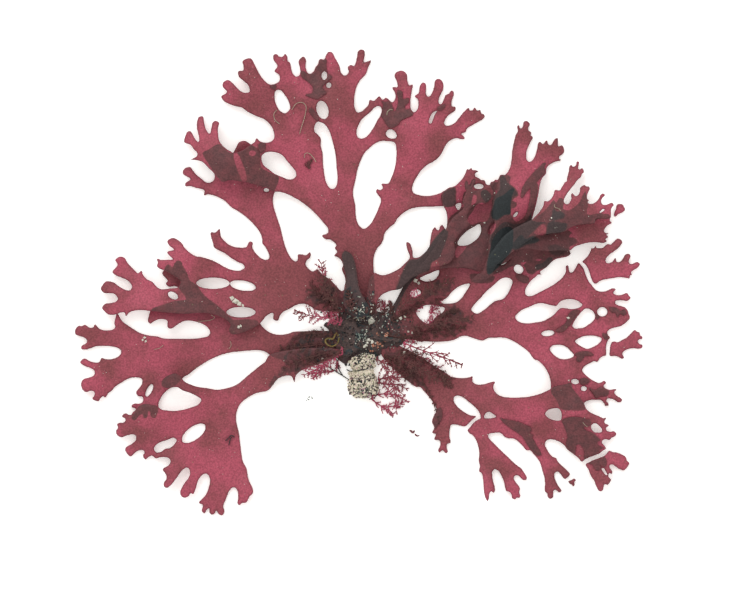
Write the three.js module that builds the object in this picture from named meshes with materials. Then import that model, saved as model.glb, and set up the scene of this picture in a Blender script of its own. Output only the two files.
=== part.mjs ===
// A callophyllis seaweed, dried flat: red fronds that fork and fork again in one plane, cut into narrow
// toothed tips, spread like a fan round a small dark holdfast that has grown against a knob of lime.
// Millimetres. +X is right, +Y up the fan, +Z up off the paper. The origin is on the paper, under the holdfast.
import * as THREE from "three";

// Driving dimensions
const BLADE = 0.6; // thickness of a frond
const CLEAR = 0.32; // air between one frond and the next one lying over it
const BEND = 1.6; // radius over which a frond bends to clear what it crosses
const PANEL = 1.9; // longest inner edge of a frond's triangles
const CURVE_ERROR = 0.06; // an outline's straight edges stay this close to its curve
const RUFFLE = 0.75; // height of the waves near the tips
const RUFFLE_FROM = 6; // radius from the holdfast where the fronds start to wave
const RUFFLE_FULL = 19; // radius where the waves have their whole height
const HOLDFAST = { x: 0.2, y: 0.3, rx: 1.35, ry: 1.0, height: 1.2, rim: 0.45 };
const KNOB_UPPER = { x: 0.2, y: -1.85, rx: 1.4, ry: 1.0, height: 1.3, rim: 0.5 };
const KNOB_LOWER = { x: 0.3, y: -3.8, rx: 1.6, ry: 1.4, height: 1.6, rim: 0.5 };
const LUMP = 0.12; // height of the small lumps on the holdfast and the lime
const LUMP_PANEL = 0.55; // longest inner edge of their triangles
const CELL = 0.25; // pitch of the grid that holds the height of what has been laid so far
const BESIDE = 0.15; // a piece that comes this close beside another one is lifted over it

// Colours
const ROSE = 0xa34a5f;
const DEEP_ROSE = 0x94465a;
const MAGENTA = 0x8e2b4d;
const NEAR_BLACK = 0x2b2a2c;
const LIME = 0xbdb8a6;

const group = new THREE.Group();
group.name = "callophyllis";

function finish(name, geometry, colour, roughness) {
  const material = new THREE.MeshStandardMaterial({ color: colour, roughness, metalness: 0 });
  const mesh = new THREE.Mesh(geometry, material);
  mesh.name = name;
  group.add(mesh);
}

// Outlines are lists of x, y, x, y ... in order round the edge, joined by one smooth closed curve.
function curveThrough(numbers) {
  const points = [];
  for (let i = 0; i < numbers.length; i += 2) {
    points.push(new THREE.Vector3(numbers[i], numbers[i + 1], 0));
  }
  const curve = new THREE.CatmullRomCurve3(points, true, "centripetal");
  const edge = [];
  points.forEach((point, i) => {
    const next = points[(i + 1) % points.length];
    const bulge = curve.getPoint((i + 0.5) / points.length);
    edge.push(new THREE.Vector2(point.x, point.y));
    if (bulge.distanceTo(point.clone().lerp(next, 0.5)) > CURVE_ERROR) {
      edge.push(new THREE.Vector2(bulge.x, bulge.y));
    }
  });
  return edge;
}

function ellipse([x, y, rx, ry, degrees = 0]) {
  const turn = (degrees * Math.PI) / 180;
  const sides = 10;
  return Array.from({ length: sides }, (_, i) => {
    const a = (i / sides) * 2 * Math.PI;
    const u = rx * Math.cos(a);
    const v = ry * Math.sin(a);
    const across = u * Math.cos(turn) - v * Math.sin(turn);
    return new THREE.Vector2(x + across, y + u * Math.sin(turn) + v * Math.cos(turn));
  });
}

// A window in a frond is an ellipse of 4 or 5 numbers, or else an outline.
const window2d = (numbers) => (numbers.length < 6 ? ellipse(numbers) : curveThrough(numbers));

const cross = (a, b, c) => (b.x - a.x) * (c.y - a.y) - (b.y - a.y) * (c.x - a.x);

function inside(x, y, edge) {
  let within = false;
  for (let i = 0, j = edge.length - 1; i < edge.length; j = i, i += 1) {
    const a = edge[i];
    const b = edge[j];
    if (a.y > y !== b.y > y && x < ((b.x - a.x) * (y - a.y)) / (b.y - a.y) + a.x) within = !within;
  }
  return within;
}

// The edges of a set of triangles, each with the triangles that share it and its corner in them.
function edgesOf(faces) {
  const edges = new Map();
  faces.forEach((face, index) => {
    for (let k = 0; k < 3; k += 1) {
      const a = face[k];
      const b = face[(k + 1) % 3];
      const key = Math.min(a, b) * 65536 + Math.max(a, b);
      if (!edges.has(key)) edges.set(key, []);
      edges.get(key).push([index, k]);
    }
  });
  return edges;
}

function angleAt(p, a, b) {
  const u = a.clone().sub(p).normalize();
  const v = b.clone().sub(p).normalize();
  return Math.acos(THREE.MathUtils.clamp(u.dot(v), -1, 1));
}

// Turns the shared edge of two triangles where the other diagonal gives rounder triangles.
function turnEdges(points, faces) {
  for (let round = 0; round < 40; round += 1) {
    const touched = new Set();
    for (const shared of edgesOf(faces).values()) {
      if (shared.length < 2 || shared.some(([index]) => touched.has(index))) continue;
      const [[first, k], [second, m]] = shared;
      const a = faces[first][k];
      const b = faces[first][(k + 1) % 3];
      const c = faces[first][(k + 2) % 3];
      const d = faces[second][(m + 2) % 3];
      const [A, B, C, D] = [a, b, c, d].map((i) => points[i]);
      if (angleAt(C, A, B) + angleAt(D, A, B) < Math.PI + 1e-6) continue;
      if (cross(A, D, C) < 1e-4 || cross(D, B, C) < 1e-4) continue;
      faces[first] = [a, d, c];
      faces[second] = [d, b, c];
      touched.add(first).add(second);
    }
    if (!touched.size) return;
  }
}

// Splits the long inner edges at their middles, so that the blade can bend.
function splitEdges(points, faces, longest) {
  const long = [...edgesOf(faces).values()]
    .filter((shared) => shared.length === 2)
    .map((shared) => {
      const [index, k] = shared[0];
      const span = points[faces[index][k]].distanceTo(points[faces[index][(k + 1) % 3]]);
      return { shared, span };
    })
    .filter(({ span }) => span > longest)
    .sort((one, other) => other.span - one.span);
  const touched = new Set();
  for (const { shared } of long) {
    if (shared.some(([index]) => touched.has(index))) continue;
    const [first, k] = shared[0];
    const a = faces[first][k];
    const b = faces[first][(k + 1) % 3];
    const middle = points.length;
    points.push(points[a].clone().lerp(points[b], 0.5));
    for (const [index, corner] of shared) {
      const [p, q, r] = [0, 1, 2].map((i) => faces[index][(corner + i) % 3]);
      faces[index] = [p, middle, r];
      faces.push([middle, q, r]);
      touched.add(index).add(faces.length - 1);
    }
  }
  return touched.size > 0;
}

function triangles(edge, windows, longest = PANEL) {
  const faces = THREE.ShapeUtils.triangulateShape(edge, windows);
  const points = [...edge, ...windows.flat()];
  faces.forEach((face) => {
    if (cross(...face.map((i) => points[i])) < 0) face.reverse();
  });
  turnEdges(points, faces);
  while (splitEdges(points, faces, longest)) turnEdges(points, faces);
  return { points, faces };
}

// Height above the paper that the next piece has to clear, on a grid that covers the whole plant.
const FIELD = { x: -27, y: -18, columns: 216, rows: 180 };
const laid = new Float64Array(FIELD.columns * FIELD.rows);
const reach = Math.ceil(BEND / CELL);
const disc = [];
for (let j = -reach; j <= reach; j += 1) {
  for (let i = -reach; i <= reach; i += 1) {
    if (Math.hypot(i, j) <= BEND / CELL) disc.push(j * FIELD.columns + i);
  }
}
const cellCentre = (i, j) => [FIELD.x + (i + 0.5) * CELL, FIELD.y + (j + 0.5) * CELL];

// The cells that a piece covers, with a margin round it.
function footprint(covers, margin) {
  const cells = new Uint8Array(laid.length);
  const near = [[0, 0], [margin, 0], [-margin, 0], [0, margin], [0, -margin]];
  for (let j = reach; j < FIELD.rows - reach; j += 1) {
    for (let i = reach; i < FIELD.columns - reach; i += 1) {
      const [x, y] = cellCentre(i, j);
      if (near.some(([dx, dy]) => covers(x + dx, y + dy))) cells[j * FIELD.columns + i] = 1;
    }
  }
  return cells;
}

// The highest point within one bend, then the mean of those within one bend: a smooth sheet that lies
// over what is already under the piece and touches the paper where nothing is near.
function drape(cells) {
  const highest = new Float64Array(laid.length);
  const sheet = new Float64Array(laid.length);
  const rim = reach * FIELD.columns + reach;
  for (let c = rim; c < laid.length - rim; c += 1) {
    for (const step of disc) highest[c] = Math.max(highest[c], cells[c + step] * laid[c + step]);
  }
  for (let c = rim; c < laid.length - rim; c += 1) {
    for (const step of disc) sheet[c] += highest[c + step] / disc.length;
  }
  return (x, y) => {
    const u = (x - FIELD.x) / CELL - 0.5;
    const v = (y - FIELD.y) / CELL - 0.5;
    const i = Math.floor(u);
    const j = Math.floor(v);
    const c = j * FIELD.columns + i;
    const low = THREE.MathUtils.lerp(sheet[c], sheet[c + 1], u - i);
    const high = THREE.MathUtils.lerp(sheet[c + FIELD.columns], sheet[c + FIELD.columns + 1], u - i);
    return THREE.MathUtils.lerp(low, high, v - j);
  };
}

// Records a piece's top in the grid.
function lay(covers, top) {
  footprint(covers, 0).forEach((covered, c) => {
    if (!covered) return;
    const [x, y] = cellCentre(c % FIELD.columns, Math.floor(c / FIELD.columns));
    laid[c] = Math.max(laid[c], top(x, y) + CLEAR);
  });
}

// Waves that grow towards the tips. They are cut off at the paper, so each frond lies on it in places.
function ruffle(x, y, phase) {
  const grown = THREE.MathUtils.smoothstep(Math.hypot(x, y), RUFFLE_FROM, RUFFLE_FULL);
  const wave = Math.sin(0.52 * x + 0.33 * y + phase) * Math.sin(0.41 * y - 0.29 * x + 2 * phase);
  return RUFFLE * grown * Math.max(0, wave);
}

// A closed body from a flat net of triangles: the net at its upper and its lower height, and a wall round
// every edge that only one triangle has.
function body(name, colour, points, faces, upper, lower) {
  const count = points.length;
  const positions = [];
  for (const height of [upper, lower]) {
    for (const p of points) positions.push(p.x, p.y, height(p.x, p.y));
  }
  const index = [];
  for (const [a, b, c] of faces) index.push(a, b, c, count + a, count + c, count + b);
  for (const shared of edgesOf(faces).values()) {
    if (shared.length === 2) continue;
    const [face, k] = shared[0];
    const a = faces[face][k];
    const b = faces[face][(k + 1) % 3];
    index.push(a, count + a, count + b, a, count + b, b);
  }
  const geometry = new THREE.BufferGeometry();
  geometry.setAttribute("position", new THREE.Float32BufferAttribute(positions, 3));
  geometry.setIndex(index);
  finish(name, geometry, colour, 0.6);
}

let phase = 0;

function frond(name, colour, outline, windows = []) {
  const edge = curveThrough(outline);
  const openings = windows.map(window2d);
  if (THREE.ShapeUtils.isClockWise(edge)) edge.reverse();
  openings.forEach((opening) => {
    if (!THREE.ShapeUtils.isClockWise(opening)) opening.reverse();
  });
  const { points, faces } = triangles(edge, openings);
  phase += 0.9;
  const own = phase;
  const covers = (x, y) => inside(x, y, edge) && !openings.some((opening) => inside(x, y, opening));
  const sheet = drape(footprint(covers, BESIDE));
  const under = (x, y) => sheet(x, y) + ruffle(x, y, own);
  lay(covers, (x, y) => under(x, y) + BLADE);

  body(name, colour, points, faces, (x, y) => under(x, y) + BLADE, under);
}

// A dome over an ellipse, which ends in a low rim of its own height.
const dome = ({ x, y, rx, ry, height, rim }) => (u, v) =>
  rim + (height - rim) * Math.sqrt(Math.max(0, 1 - ((u - x) / rx) ** 2 - ((v - y) / ry) ** 2));

// A lump with a flat foot on the paper, domed, and made uneven by small crossed waves.
function lump(name, colour, shape, outline) {
  const edge = curveThrough(outline);
  if (THREE.ShapeUtils.isClockWise(edge)) edge.reverse();
  const { points, faces } = triangles(edge, [], LUMP_PANEL);
  const over = dome(shape);
  const uneven = (x, y) => LUMP * Math.sin(4.1 * x + 1.7 * y) * Math.cos(4.6 * y - 1.3 * x);
  body(name, colour, points, faces, (x, y) => over(x, y) + uneven(x, y), () => 0);
  return (x, y) => inside(x, y, edge);
}

// The holdfast, a crust of hardened tissue whose lobes fill the space between the necks of the fronds.
// The necks stand beside its lobes, so only its middle counts for what is laid before the tufts.
const overHoldfast = lump("holdfast", NEAR_BLACK, HOLDFAST, [
  -1.58, 0.1, -1.6, 0.5, -1.72, 0.72, -2.1, 0.9, -2.6, 0.98, -2.75, 1.15, -2.4, 1.35, -1.9, 1.6,
  -1.5, 1.85, -1.15, 1.9, -1.0, 2.1, -0.7, 2.02, -0.4, 1.8, 0.0, 1.62, 0.4, 1.56, 1.0, 1.6, 1.4, 1.8,
  1.6, 2.1, 1.8, 2.0, 1.62, 1.65, 1.6, 1.3, 1.68, 0.85, 2.0, 0.46, 2.7, 0.26, 3.5, 0.08, 3.6, -0.15,
  3.2, -0.28, 2.6, -0.2, 2.05, -0.38, 1.68, -0.65, 1.55, -0.95, 1.35, -1.05, 1.1, -0.98, 0.8, -0.98,
  0.5, -0.86, 0.2, -0.9, -0.1, -1.05, -0.4, -1.25, -0.8, -1.5, -1.15, -1.65, -1.45, -1.55,
  -1.7, -1.3, -1.78, -1.0, -1.72, -0.7, -1.64, -0.3,
]);
lay((x, y) => Math.hypot((x - 0.1) / 1.25, (y - 0.3) / 0.95) < 1.12, dome(HOLDFAST));

// The knob of coralline lime below the holdfast, in two lumps with a crevice between them.
const overUpper = lump("lime_knob_upper", LIME, KNOB_UPPER, [
  -1.0, -1.78, -0.75, -1.68, -0.4, -1.42, -0.1, -1.2, 0.15, -1.08, 0.4, -1.0, 0.75, -1.14, 1.05, -1.13,
  1.3, -1.25, 1.4, -1.6, 1.28, -1.95, 1.35, -2.25, 1.1, -2.42, 0.7, -2.46, 0.3, -2.55, -0.1, -2.66,
  -0.5, -2.62, -0.75, -2.42, -0.9, -2.1,
]);
const overLower = lump("lime_knob_lower", LIME, KNOB_LOWER, [
  -0.45, -2.98, -0.1, -2.84, 0.3, -2.74, 0.7, -2.62, 1.15, -2.56, 1.22, -2.85, 1.45, -3.3, 1.5, -3.6,
  1.6, -3.9, 1.6, -4.3, 1.42, -4.6, 1.1, -4.8, 0.7, -4.95, 0.1, -4.95, -0.4, -4.9, -0.7, -4.75,
  -0.95, -4.5, -1.05, -4.1, -0.95, -3.7, -1.05, -3.4, -0.8, -3.12,
]);
lay(overUpper, dome(KNOB_UPPER));
lay(overLower, dome(KNOB_LOWER));

// Right frond: the widest one, full of windows, with a branch that runs up to the right.
frond("frond_right", ROSE, [
  2.0, 0.6, 2.9, 0.3, 4.0, 0.1, 5.4, -0.1, 6.8, -0.15, 8.0, 0.0, 8.6, 0.3, 9.1, 0.35, 9.7, 0.15,
  10.5, -0.05, 10.9, 0.15, 11.5, 0.2, 12.3, 0.2, 12.8, 0.05, 13.3, -0.2, 13.9, -0.6, 14.4, -1.0,
  14.9, -1.65, 15.2, -1.75, 15.6, -2.1, 15.9, -2.5, 16.1, -2.9, 16.25, -3.4, 16.3, -3.9,
  // lower lobe and its fingers
  16.3, -4.5, 16.6, -4.9, 16.85, -5.3, 17.05, -5.8, 17.4, -5.97, 18.0, -6.0, 18.8, -6.0, 19.25, -5.9,
  19.15, -5.4, 19.6, -5.15, 20.2, -5.1, 20.6, -5.15, 20.85, -5.4, 20.95, -5.65, 21.1, -5.6,
  21.28, -5.62, 21.2, -5.4, 21.05, -5.2, 21.15, -5.0, 21.4, -5.0, 21.7, -5.1, 22.0, -5.3,
  22.2, -5.33, 22.4, -5.15, 22.3, -4.98, 22.0, -4.8, 21.75, -4.55, 21.75, -4.4, 21.97, -4.2,
  21.6, -4.22, 21.3, -4.25, 20.95, -4.1, 20.8, -3.93, 20.88, -3.8, 21.02, -3.65, 20.85, -3.48,
  20.65, -3.6, 20.4, -3.67, 20.0, -3.5, 19.6, -3.25, 19.3, -3.0, 19.1, -2.8, 18.98, -2.55,
  19.1, -2.35, 19.4, -2.1, 19.7, -1.95, 20.0, -1.8, 20.27, -1.88, 20.5, -1.55, 20.8, -1.37,
  21.0, -1.35, 21.02, -0.6, 21.1, -0.25, 21.2, 0.0, 21.38, 0.18, 21.22, 0.4, 21.12, 0.65,
  21.3, 0.9, 21.6, 1.02, 21.9, 1.1, 22.3, 1.2, 22.6, 1.4, 22.85, 1.62, 23.05, 1.9, 22.95, 2.2,
  22.85, 2.55, 22.6, 2.8, 22.3, 2.9, 22.0, 3.0, 21.8, 3.15, 21.82, 3.32, 22.0, 3.4, 22.4, 3.4,
  22.8, 3.33, 23.0, 3.45, 23.12, 3.6, 22.95, 3.82, 22.82, 4.02, 22.6, 3.95, 22.3, 3.85,
  21.9, 3.85, 21.65, 4.0, 21.7, 4.15, 21.87, 4.33, 21.6, 4.42, 21.3, 4.3, 21.0, 4.17, 20.5, 4.15,
  20.2, 4.25, 19.95, 4.5, 19.75, 4.75, 19.55, 5.0, 19.4, 5.3, 19.25, 5.7, 19.1, 6.1, 18.9, 6.38,
  18.67, 6.58, 18.55, 6.4, 18.35, 6.05, 18.15, 5.8, 17.95, 5.78, 17.85, 6.0, 17.82, 6.25,
  17.73, 6.4, 17.58, 6.25, 17.6, 5.95, 17.5, 5.65, 17.3, 5.35, 16.9, 5.0, 16.4, 4.65, 15.9, 4.38,
  15.4, 4.12, 15.0, 3.9, 14.6, 3.76, 14.3, 3.78, 14.1, 4.0, 14.15, 4.35, 14.3, 4.65, 14.6, 5.05,
  15.0, 5.4, 15.25, 5.6, 15.52, 5.57, 15.38, 5.8, 15.6, 6.0, 15.9, 6.2, 16.1, 6.4, 16.4, 6.7,
  16.8, 6.93, 17.2, 7.02, 17.6, 7.1, 17.85, 7.2, 18.0, 7.4, 17.88, 7.65, 17.85, 7.9, 18.2, 8.12,
  18.45, 8.2, 18.57, 8.45, 18.3, 8.7, 17.85, 8.8, 17.85, 8.95, 18.1, 9.13, 17.8, 9.3, 17.2, 9.3,
  16.6, 9.2, 15.9, 9.05, 15.3, 8.8, 14.8, 8.5, 14.2, 8.2, 13.6, 7.8, 13.0, 7.2, 12.6, 6.7,
  12.1, 6.4, 11.5, 6.6, 10.5, 6.9, 9.4, 7.1, 8.3, 7.05, 7.2, 7.2, 6.2, 7.0, 5.2, 6.6, 4.4, 5.9,
  3.9, 5.1, 3.6, 4.4, 3.25, 3.7, 2.85, 3.0, 2.5, 2.5, 2.1, 2.1, 1.75, 1.5,
], [
  [5.1, 5.25, 6.0, 5.7, 6.75, 5.95, 6.7, 5.55, 6.35, 5.15, 5.7, 5.0],
  [4.75, 4.0, 0.47, 0.33, 10],
  [4.8, 2.4, 5.3, 2.85, 5.8, 3.0, 7.25, 2.72, 7.0, 2.3, 6.4, 1.9, 6.1, 1.5, 5.7, 1.4, 5.25, 1.7],
  [6.8, 3.25, 7.35, 3.55, 7.85, 4.1, 8.4, 4.55, 8.9, 4.75, 9.4, 4.8, 9.0, 4.05, 8.7, 3.6,
    8.2, 3.22, 7.4, 3.1],
  [9.5, 2.6, 9.75, 3.0, 10.25, 3.55, 10.85, 4.2, 11.5, 4.75, 12.0, 5.2, 12.4, 5.33, 12.85, 5.25,
    13.02, 5.0, 12.8, 4.3, 12.55, 3.85, 12.2, 3.5, 11.5, 3.3, 11.0, 2.9, 10.5, 2.5, 10.0, 2.25],
  [13.55, 6.05, 0.43, 0.36, -35],
  [13.27, 2.0, 13.4, 1.7, 13.75, 1.5, 14.3, 1.42, 15.0, 1.5, 15.6, 1.6, 16.1, 1.85, 16.6, 2.2,
    16.9, 2.55, 17.15, 2.73, 17.5, 2.73, 18.0, 2.65, 18.5, 2.7, 18.8, 2.82, 19.0, 3.0, 18.75, 3.25,
    18.4, 3.42, 17.9, 3.5, 17.4, 3.42, 17.05, 3.25, 16.8, 2.93, 16.4, 2.95, 16.0, 3.05, 15.5, 3.15,
    15.1, 3.1, 14.5, 2.85, 13.9, 2.6, 13.5, 2.3],
  [18.15, 1.2, 18.35, 1.0, 18.75, 1.0, 19.15, 1.07, 19.5, 1.3, 19.9, 1.6, 20.08, 1.9, 20.05, 2.2,
    19.9, 2.45, 19.6, 2.65, 19.3, 2.7, 19.0, 2.5, 18.75, 2.2, 18.5, 1.9, 18.27, 1.5],
  [20.7, 2.42, 0.44, 0.4],
  [16.05, 0.58, 0.56, 0.24, 6],
  [16.22, -0.75, 16.4, -0.5, 16.8, -0.42, 17.3, -0.45, 17.7, -0.65, 18.0, -0.95, 18.3, -1.3,
    18.1, -1.5, 17.7, -1.62, 17.2, -1.62, 16.8, -1.45, 16.45, -1.15],
  [18.38, -0.1, 18.7, 0.15, 19.1, 0.32, 19.6, 0.37, 20.1, 0.35, 20.65, 0.12, 20.5, -0.2,
    20.2, -0.45, 19.8, -0.65, 19.4, -0.75, 19.0, -0.6, 18.65, -0.38],
  [18.38, -3.55, 0.34, 0.22, -8],
  [19.13, -4.15, 0.26, 0.21],
]);

// Two pieces that cracked off the right frond in drying and still lie in their places.
frond("fragment_right_upper", ROSE, [
  19.0, 6.7, 19.3, 7.0, 19.55, 7.35, 19.7, 7.65, 19.78, 7.88, 19.97, 7.8, 20.08, 8.1, 20.2, 7.88,
  20.45, 7.85, 20.8, 7.9, 21.0, 8.1, 21.2, 8.2, 21.4, 8.15, 21.6, 8.3, 21.8, 8.5, 22.0, 8.67,
  22.25, 8.6, 22.4, 8.45, 22.38, 8.27, 22.2, 8.0, 21.9, 7.72, 21.6, 7.5, 21.3, 7.3, 21.07, 7.05,
  20.97, 6.8, 21.05, 6.6, 21.3, 6.57, 21.55, 6.68, 21.7, 6.87, 21.85, 7.03, 21.9, 6.72,
  22.1, 6.65, 22.3, 6.75, 22.5, 7.0, 22.65, 7.25, 22.85, 7.37, 23.05, 7.32, 23.1, 7.1,
  22.98, 6.85, 23.05, 6.52, 23.3, 6.5, 23.5, 6.62, 23.72, 6.67, 23.9, 6.5, 23.8, 6.27, 23.6, 6.1,
  23.35, 5.97, 23.15, 5.75, 23.25, 5.6, 23.05, 5.48, 23.05, 5.27, 22.8, 5.3, 22.2, 5.37,
  21.5, 5.27, 20.9, 5.17, 20.5, 5.05, 20.2, 4.82, 20.0, 4.85, 19.85, 5.1, 19.72, 5.4, 19.6, 5.8,
  19.45, 6.15, 19.25, 6.45,
]);
frond("fragment_right", ROSE, [
  21.35, -1.35, 21.35, -0.9, 21.4, -0.45, 21.55, -0.17, 21.75, -0.12, 22.0, -0.2, 22.4, 0.0,
  22.8, 0.2, 23.1, 0.5, 23.3, 0.7, 23.5, 0.87, 23.67, 0.7, 23.88, 0.65, 23.93, 0.4, 24.12, 0.28,
  24.1, 0.1, 23.82, 0.05, 23.75, -0.15, 23.9, -0.35, 24.12, -0.42, 24.1, -0.66, 23.8, -0.75,
  23.4, -0.7, 23.0, -0.75, 22.6, -0.92, 22.42, -1.12, 22.48, -1.35, 22.57, -1.52, 22.35, -1.6,
  22.1, -1.45, 21.8, -1.36,
]);

// Lower right frond: its lower branch is half torn away along a crack that runs into a window.
frond("frond_lower_right", ROSE, [
  1.7, -0.9, 2.3, -1.9, 3.0, -2.6, 3.6, -3.1, 4.2, -3.6, 4.8, -4.0, 5.1, -4.0, 5.5, -4.4, 6.0, -5.0,
  6.4, -5.6, 6.55, -6.0, 6.3, -6.5, 6.15, -7.0, 6.35, -7.5, 6.17, -7.92, 6.5, -8.05, 6.35, -8.5,
  6.82, -8.6, 6.85, -9.05, 6.68, -9.4, 6.78, -9.62, 7.05, -9.42, 7.35, -9.68, 7.5, -9.55,
  7.42, -9.25, 7.42, -8.92, 7.75, -8.75, 7.65, -8.3, 7.68, -7.6, 7.8, -7.25, 8.3, -7.25, 8.95, -7.38,
  // along the crack, round the window, and back down the other side of the crack
  9.3, -7.1, 9.6, -6.8, 9.93, -6.53, 9.4, -6.42, 8.75, -6.05, 8.25, -5.6, 8.0, -5.15, 8.05, -4.85,
  8.35, -4.75, 8.75, -4.87, 9.25, -5.25, 9.85, -5.75, 10.2, -6.2, 10.3, -6.68, 10.0, -6.85,
  9.7, -7.1, 9.45, -7.4, 9.2, -7.72,
  // lower branch
  9.35, -7.95, 9.65, -8.15, 9.9, -8.5, 10.05, -8.9, 10.15, -9.3, 10.2, -9.8, 10.15, -10.3,
  10.25, -10.8, 10.18, -11.2, 10.4, -11.4, 10.5, -11.8, 10.55, -12.4, 10.6, -13.0, 10.72, -13.5,
  10.9, -13.75, 11.0, -13.5, 11.05, -13.1, 11.2, -12.9, 11.42, -13.05, 11.52, -12.9, 11.5, -12.5,
  11.38, -12.1, 11.3, -11.6, 11.3, -11.25, 11.5, -11.03, 11.75, -11.12, 11.95, -11.35,
  12.15, -11.75, 12.3, -12.1, 12.4, -12.6, 12.5, -12.9, 12.75, -12.97, 12.95, -13.2, 13.0, -13.5,
  13.25, -13.6, 13.42, -13.45, 13.58, -13.5, 13.7, -13.3, 13.6, -13.0, 13.67, -12.7, 13.55, -12.45,
  13.35, -12.2, 13.18, -11.95, 13.15, -11.7, 13.35, -11.55, 13.6, -11.63, 13.8, -11.85,
  14.0, -11.97, 14.25, -11.9, 14.22, -11.65, 14.0, -11.3, 13.8, -11.0, 13.4, -10.7, 13.0, -10.35,
  12.6, -9.95, 12.2, -9.6, 11.8, -9.2, 11.4, -8.8, 11.1, -8.5, 10.95, -8.2, 11.05, -8.0,
  11.4, -7.95, 11.8, -7.9, 12.1, -8.0, 12.4, -8.3, 12.7, -8.4, 13.1, -8.42, 13.5, -8.65,
  13.9, -9.05, 14.25, -9.42, 14.55, -9.42, 14.8, -9.7, 15.1, -10.05, 15.35, -10.4, 15.5, -10.8,
  15.6, -11.2, 15.75, -11.7, 15.82, -12.2, 15.82, -12.95, 16.0, -13.1, 16.05, -13.4, 16.25, -13.57,
  16.47, -13.45, 16.5, -13.15, 16.5, -12.9, 16.65, -12.77, 16.85, -12.9, 17.05, -13.03,
  17.23, -12.87, 17.05, -12.6, 16.85, -12.3, 16.67, -11.9, 16.6, -11.5, 16.7, -11.3, 16.9, -11.25,
  17.1, -11.4, 17.3, -11.68, 17.5, -11.87, 17.8, -11.68, 17.95, -11.45, 17.8, -11.25,
  17.5, -10.95, 17.1, -10.6, 16.85, -10.3, 16.75, -10.07, 16.5, -10.0, 16.2, -9.7, 15.95, -9.3,
  15.8, -8.95, 15.85, -8.7, 16.1, -8.5, 16.5, -8.5, 16.9, -8.63, 17.25, -8.83, 17.5, -9.05,
  17.7, -9.35, 18.0, -9.58, 18.3, -9.8, 18.65, -10.08, 18.95, -10.4, 19.25, -10.17, 19.7, -9.97,
  20.1, -9.82, 20.45, -9.68, 20.72, -9.45, 21.0, -9.27, 20.85, -8.98, 20.65, -8.75, 20.75, -8.52,
  21.05, -8.47, 21.3, -8.55, 21.5, -8.35, 21.8, -8.2, 21.9, -8.0, 21.7, -7.8, 21.4, -7.83,
  21.1, -7.75, 21.0, -7.5, 21.28, -7.27, 20.97, -7.15, 20.87, -6.95, 21.03, -6.63, 20.75, -6.67,
  20.4, -6.5, 20.0, -6.33, 19.6, -6.13, 19.3, -5.85, 19.1, -5.4, 18.75, -4.9, 18.35, -4.4,
  18.1, -4.05, 18.0, -3.65, 17.5, -3.77, 16.9, -3.87, 16.45, -4.02, 16.1, -4.25, 15.6, -4.5,
  15.0, -4.7, 14.2, -4.87, 13.3, -4.92, 12.4, -4.88, 11.95, -4.75, 11.6, -4.5, 11.4, -4.15,
  11.4, -3.9, 11.53, -3.55, 11.1, -3.62, 10.5, -3.8, 9.9, -3.77, 9.6, -3.5, 9.62, -3.1, 9.3, -3.2,
  8.55, -3.25, 7.75, -3.1, 7.35, -2.8, 6.5, -2.3, 5.6, -1.7, 4.6, -1.1, 3.6, -0.6, 2.8, -0.3,
  2.2, -0.4,
], [
  [10.62, -6.65, 10.7, -6.3, 11.0, -6.13, 11.35, -6.3, 11.65, -6.55, 11.3, -6.66],
  [15.8, -6.3, 16.0, -6.0, 16.4, -5.85, 16.9, -5.82, 17.1, -6.0, 17.2, -6.4, 17.15, -6.8,
    16.8, -6.87, 16.3, -6.75, 16.0, -6.58],
  [19.72, -7.35, 19.85, -7.15, 20.1, -7.1, 20.4, -7.3, 20.65, -7.6, 20.62, -7.85, 20.3, -7.9,
    20.0, -7.85, 19.8, -7.65],
]);
frond("fragment_lower_right", ROSE, [
  19.27, -10.62, 19.6, -10.42, 20.0, -10.22, 20.5, -10.05, 20.9, -9.87, 21.1, -9.65, 21.3, -9.45,
  21.6, -9.57, 22.0, -9.63, 22.4, -9.8, 22.72, -10.02, 22.8, -10.3, 23.0, -10.52, 22.88, -10.8,
  22.7, -11.0, 22.5, -11.15, 22.3, -11.08, 22.1, -11.0, 21.8, -10.78, 21.55, -10.63,
  21.33, -10.68, 21.32, -10.9, 21.55, -11.22, 21.5, -11.45, 21.32, -11.35, 21.2, -11.55,
  21.25, -11.72, 21.45, -11.92, 21.3, -12.18, 21.13, -12.38, 20.95, -12.28, 20.8, -12.45,
  20.77, -12.75, 20.6, -12.92, 20.37, -12.85, 20.23, -12.6, 20.1, -12.3, 20.0, -12.0, 19.8, -11.75,
  19.65, -11.45, 19.5, -11.05,
], [
  [20.6, -10.98, 20.8, -10.93, 20.98, -11.2, 21.12, -11.5, 20.98, -11.52, 20.78, -11.27],
]);
frond("scrap_lower_right", ROSE, [
  17.8, -12.08, 17.95, -12.3, 18.1, -12.35, 18.22, -12.52, 18.35, -12.35, 18.28, -12.15,
  18.45, -12.0, 18.25, -11.82, 18.12, -11.95,
]);

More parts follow.
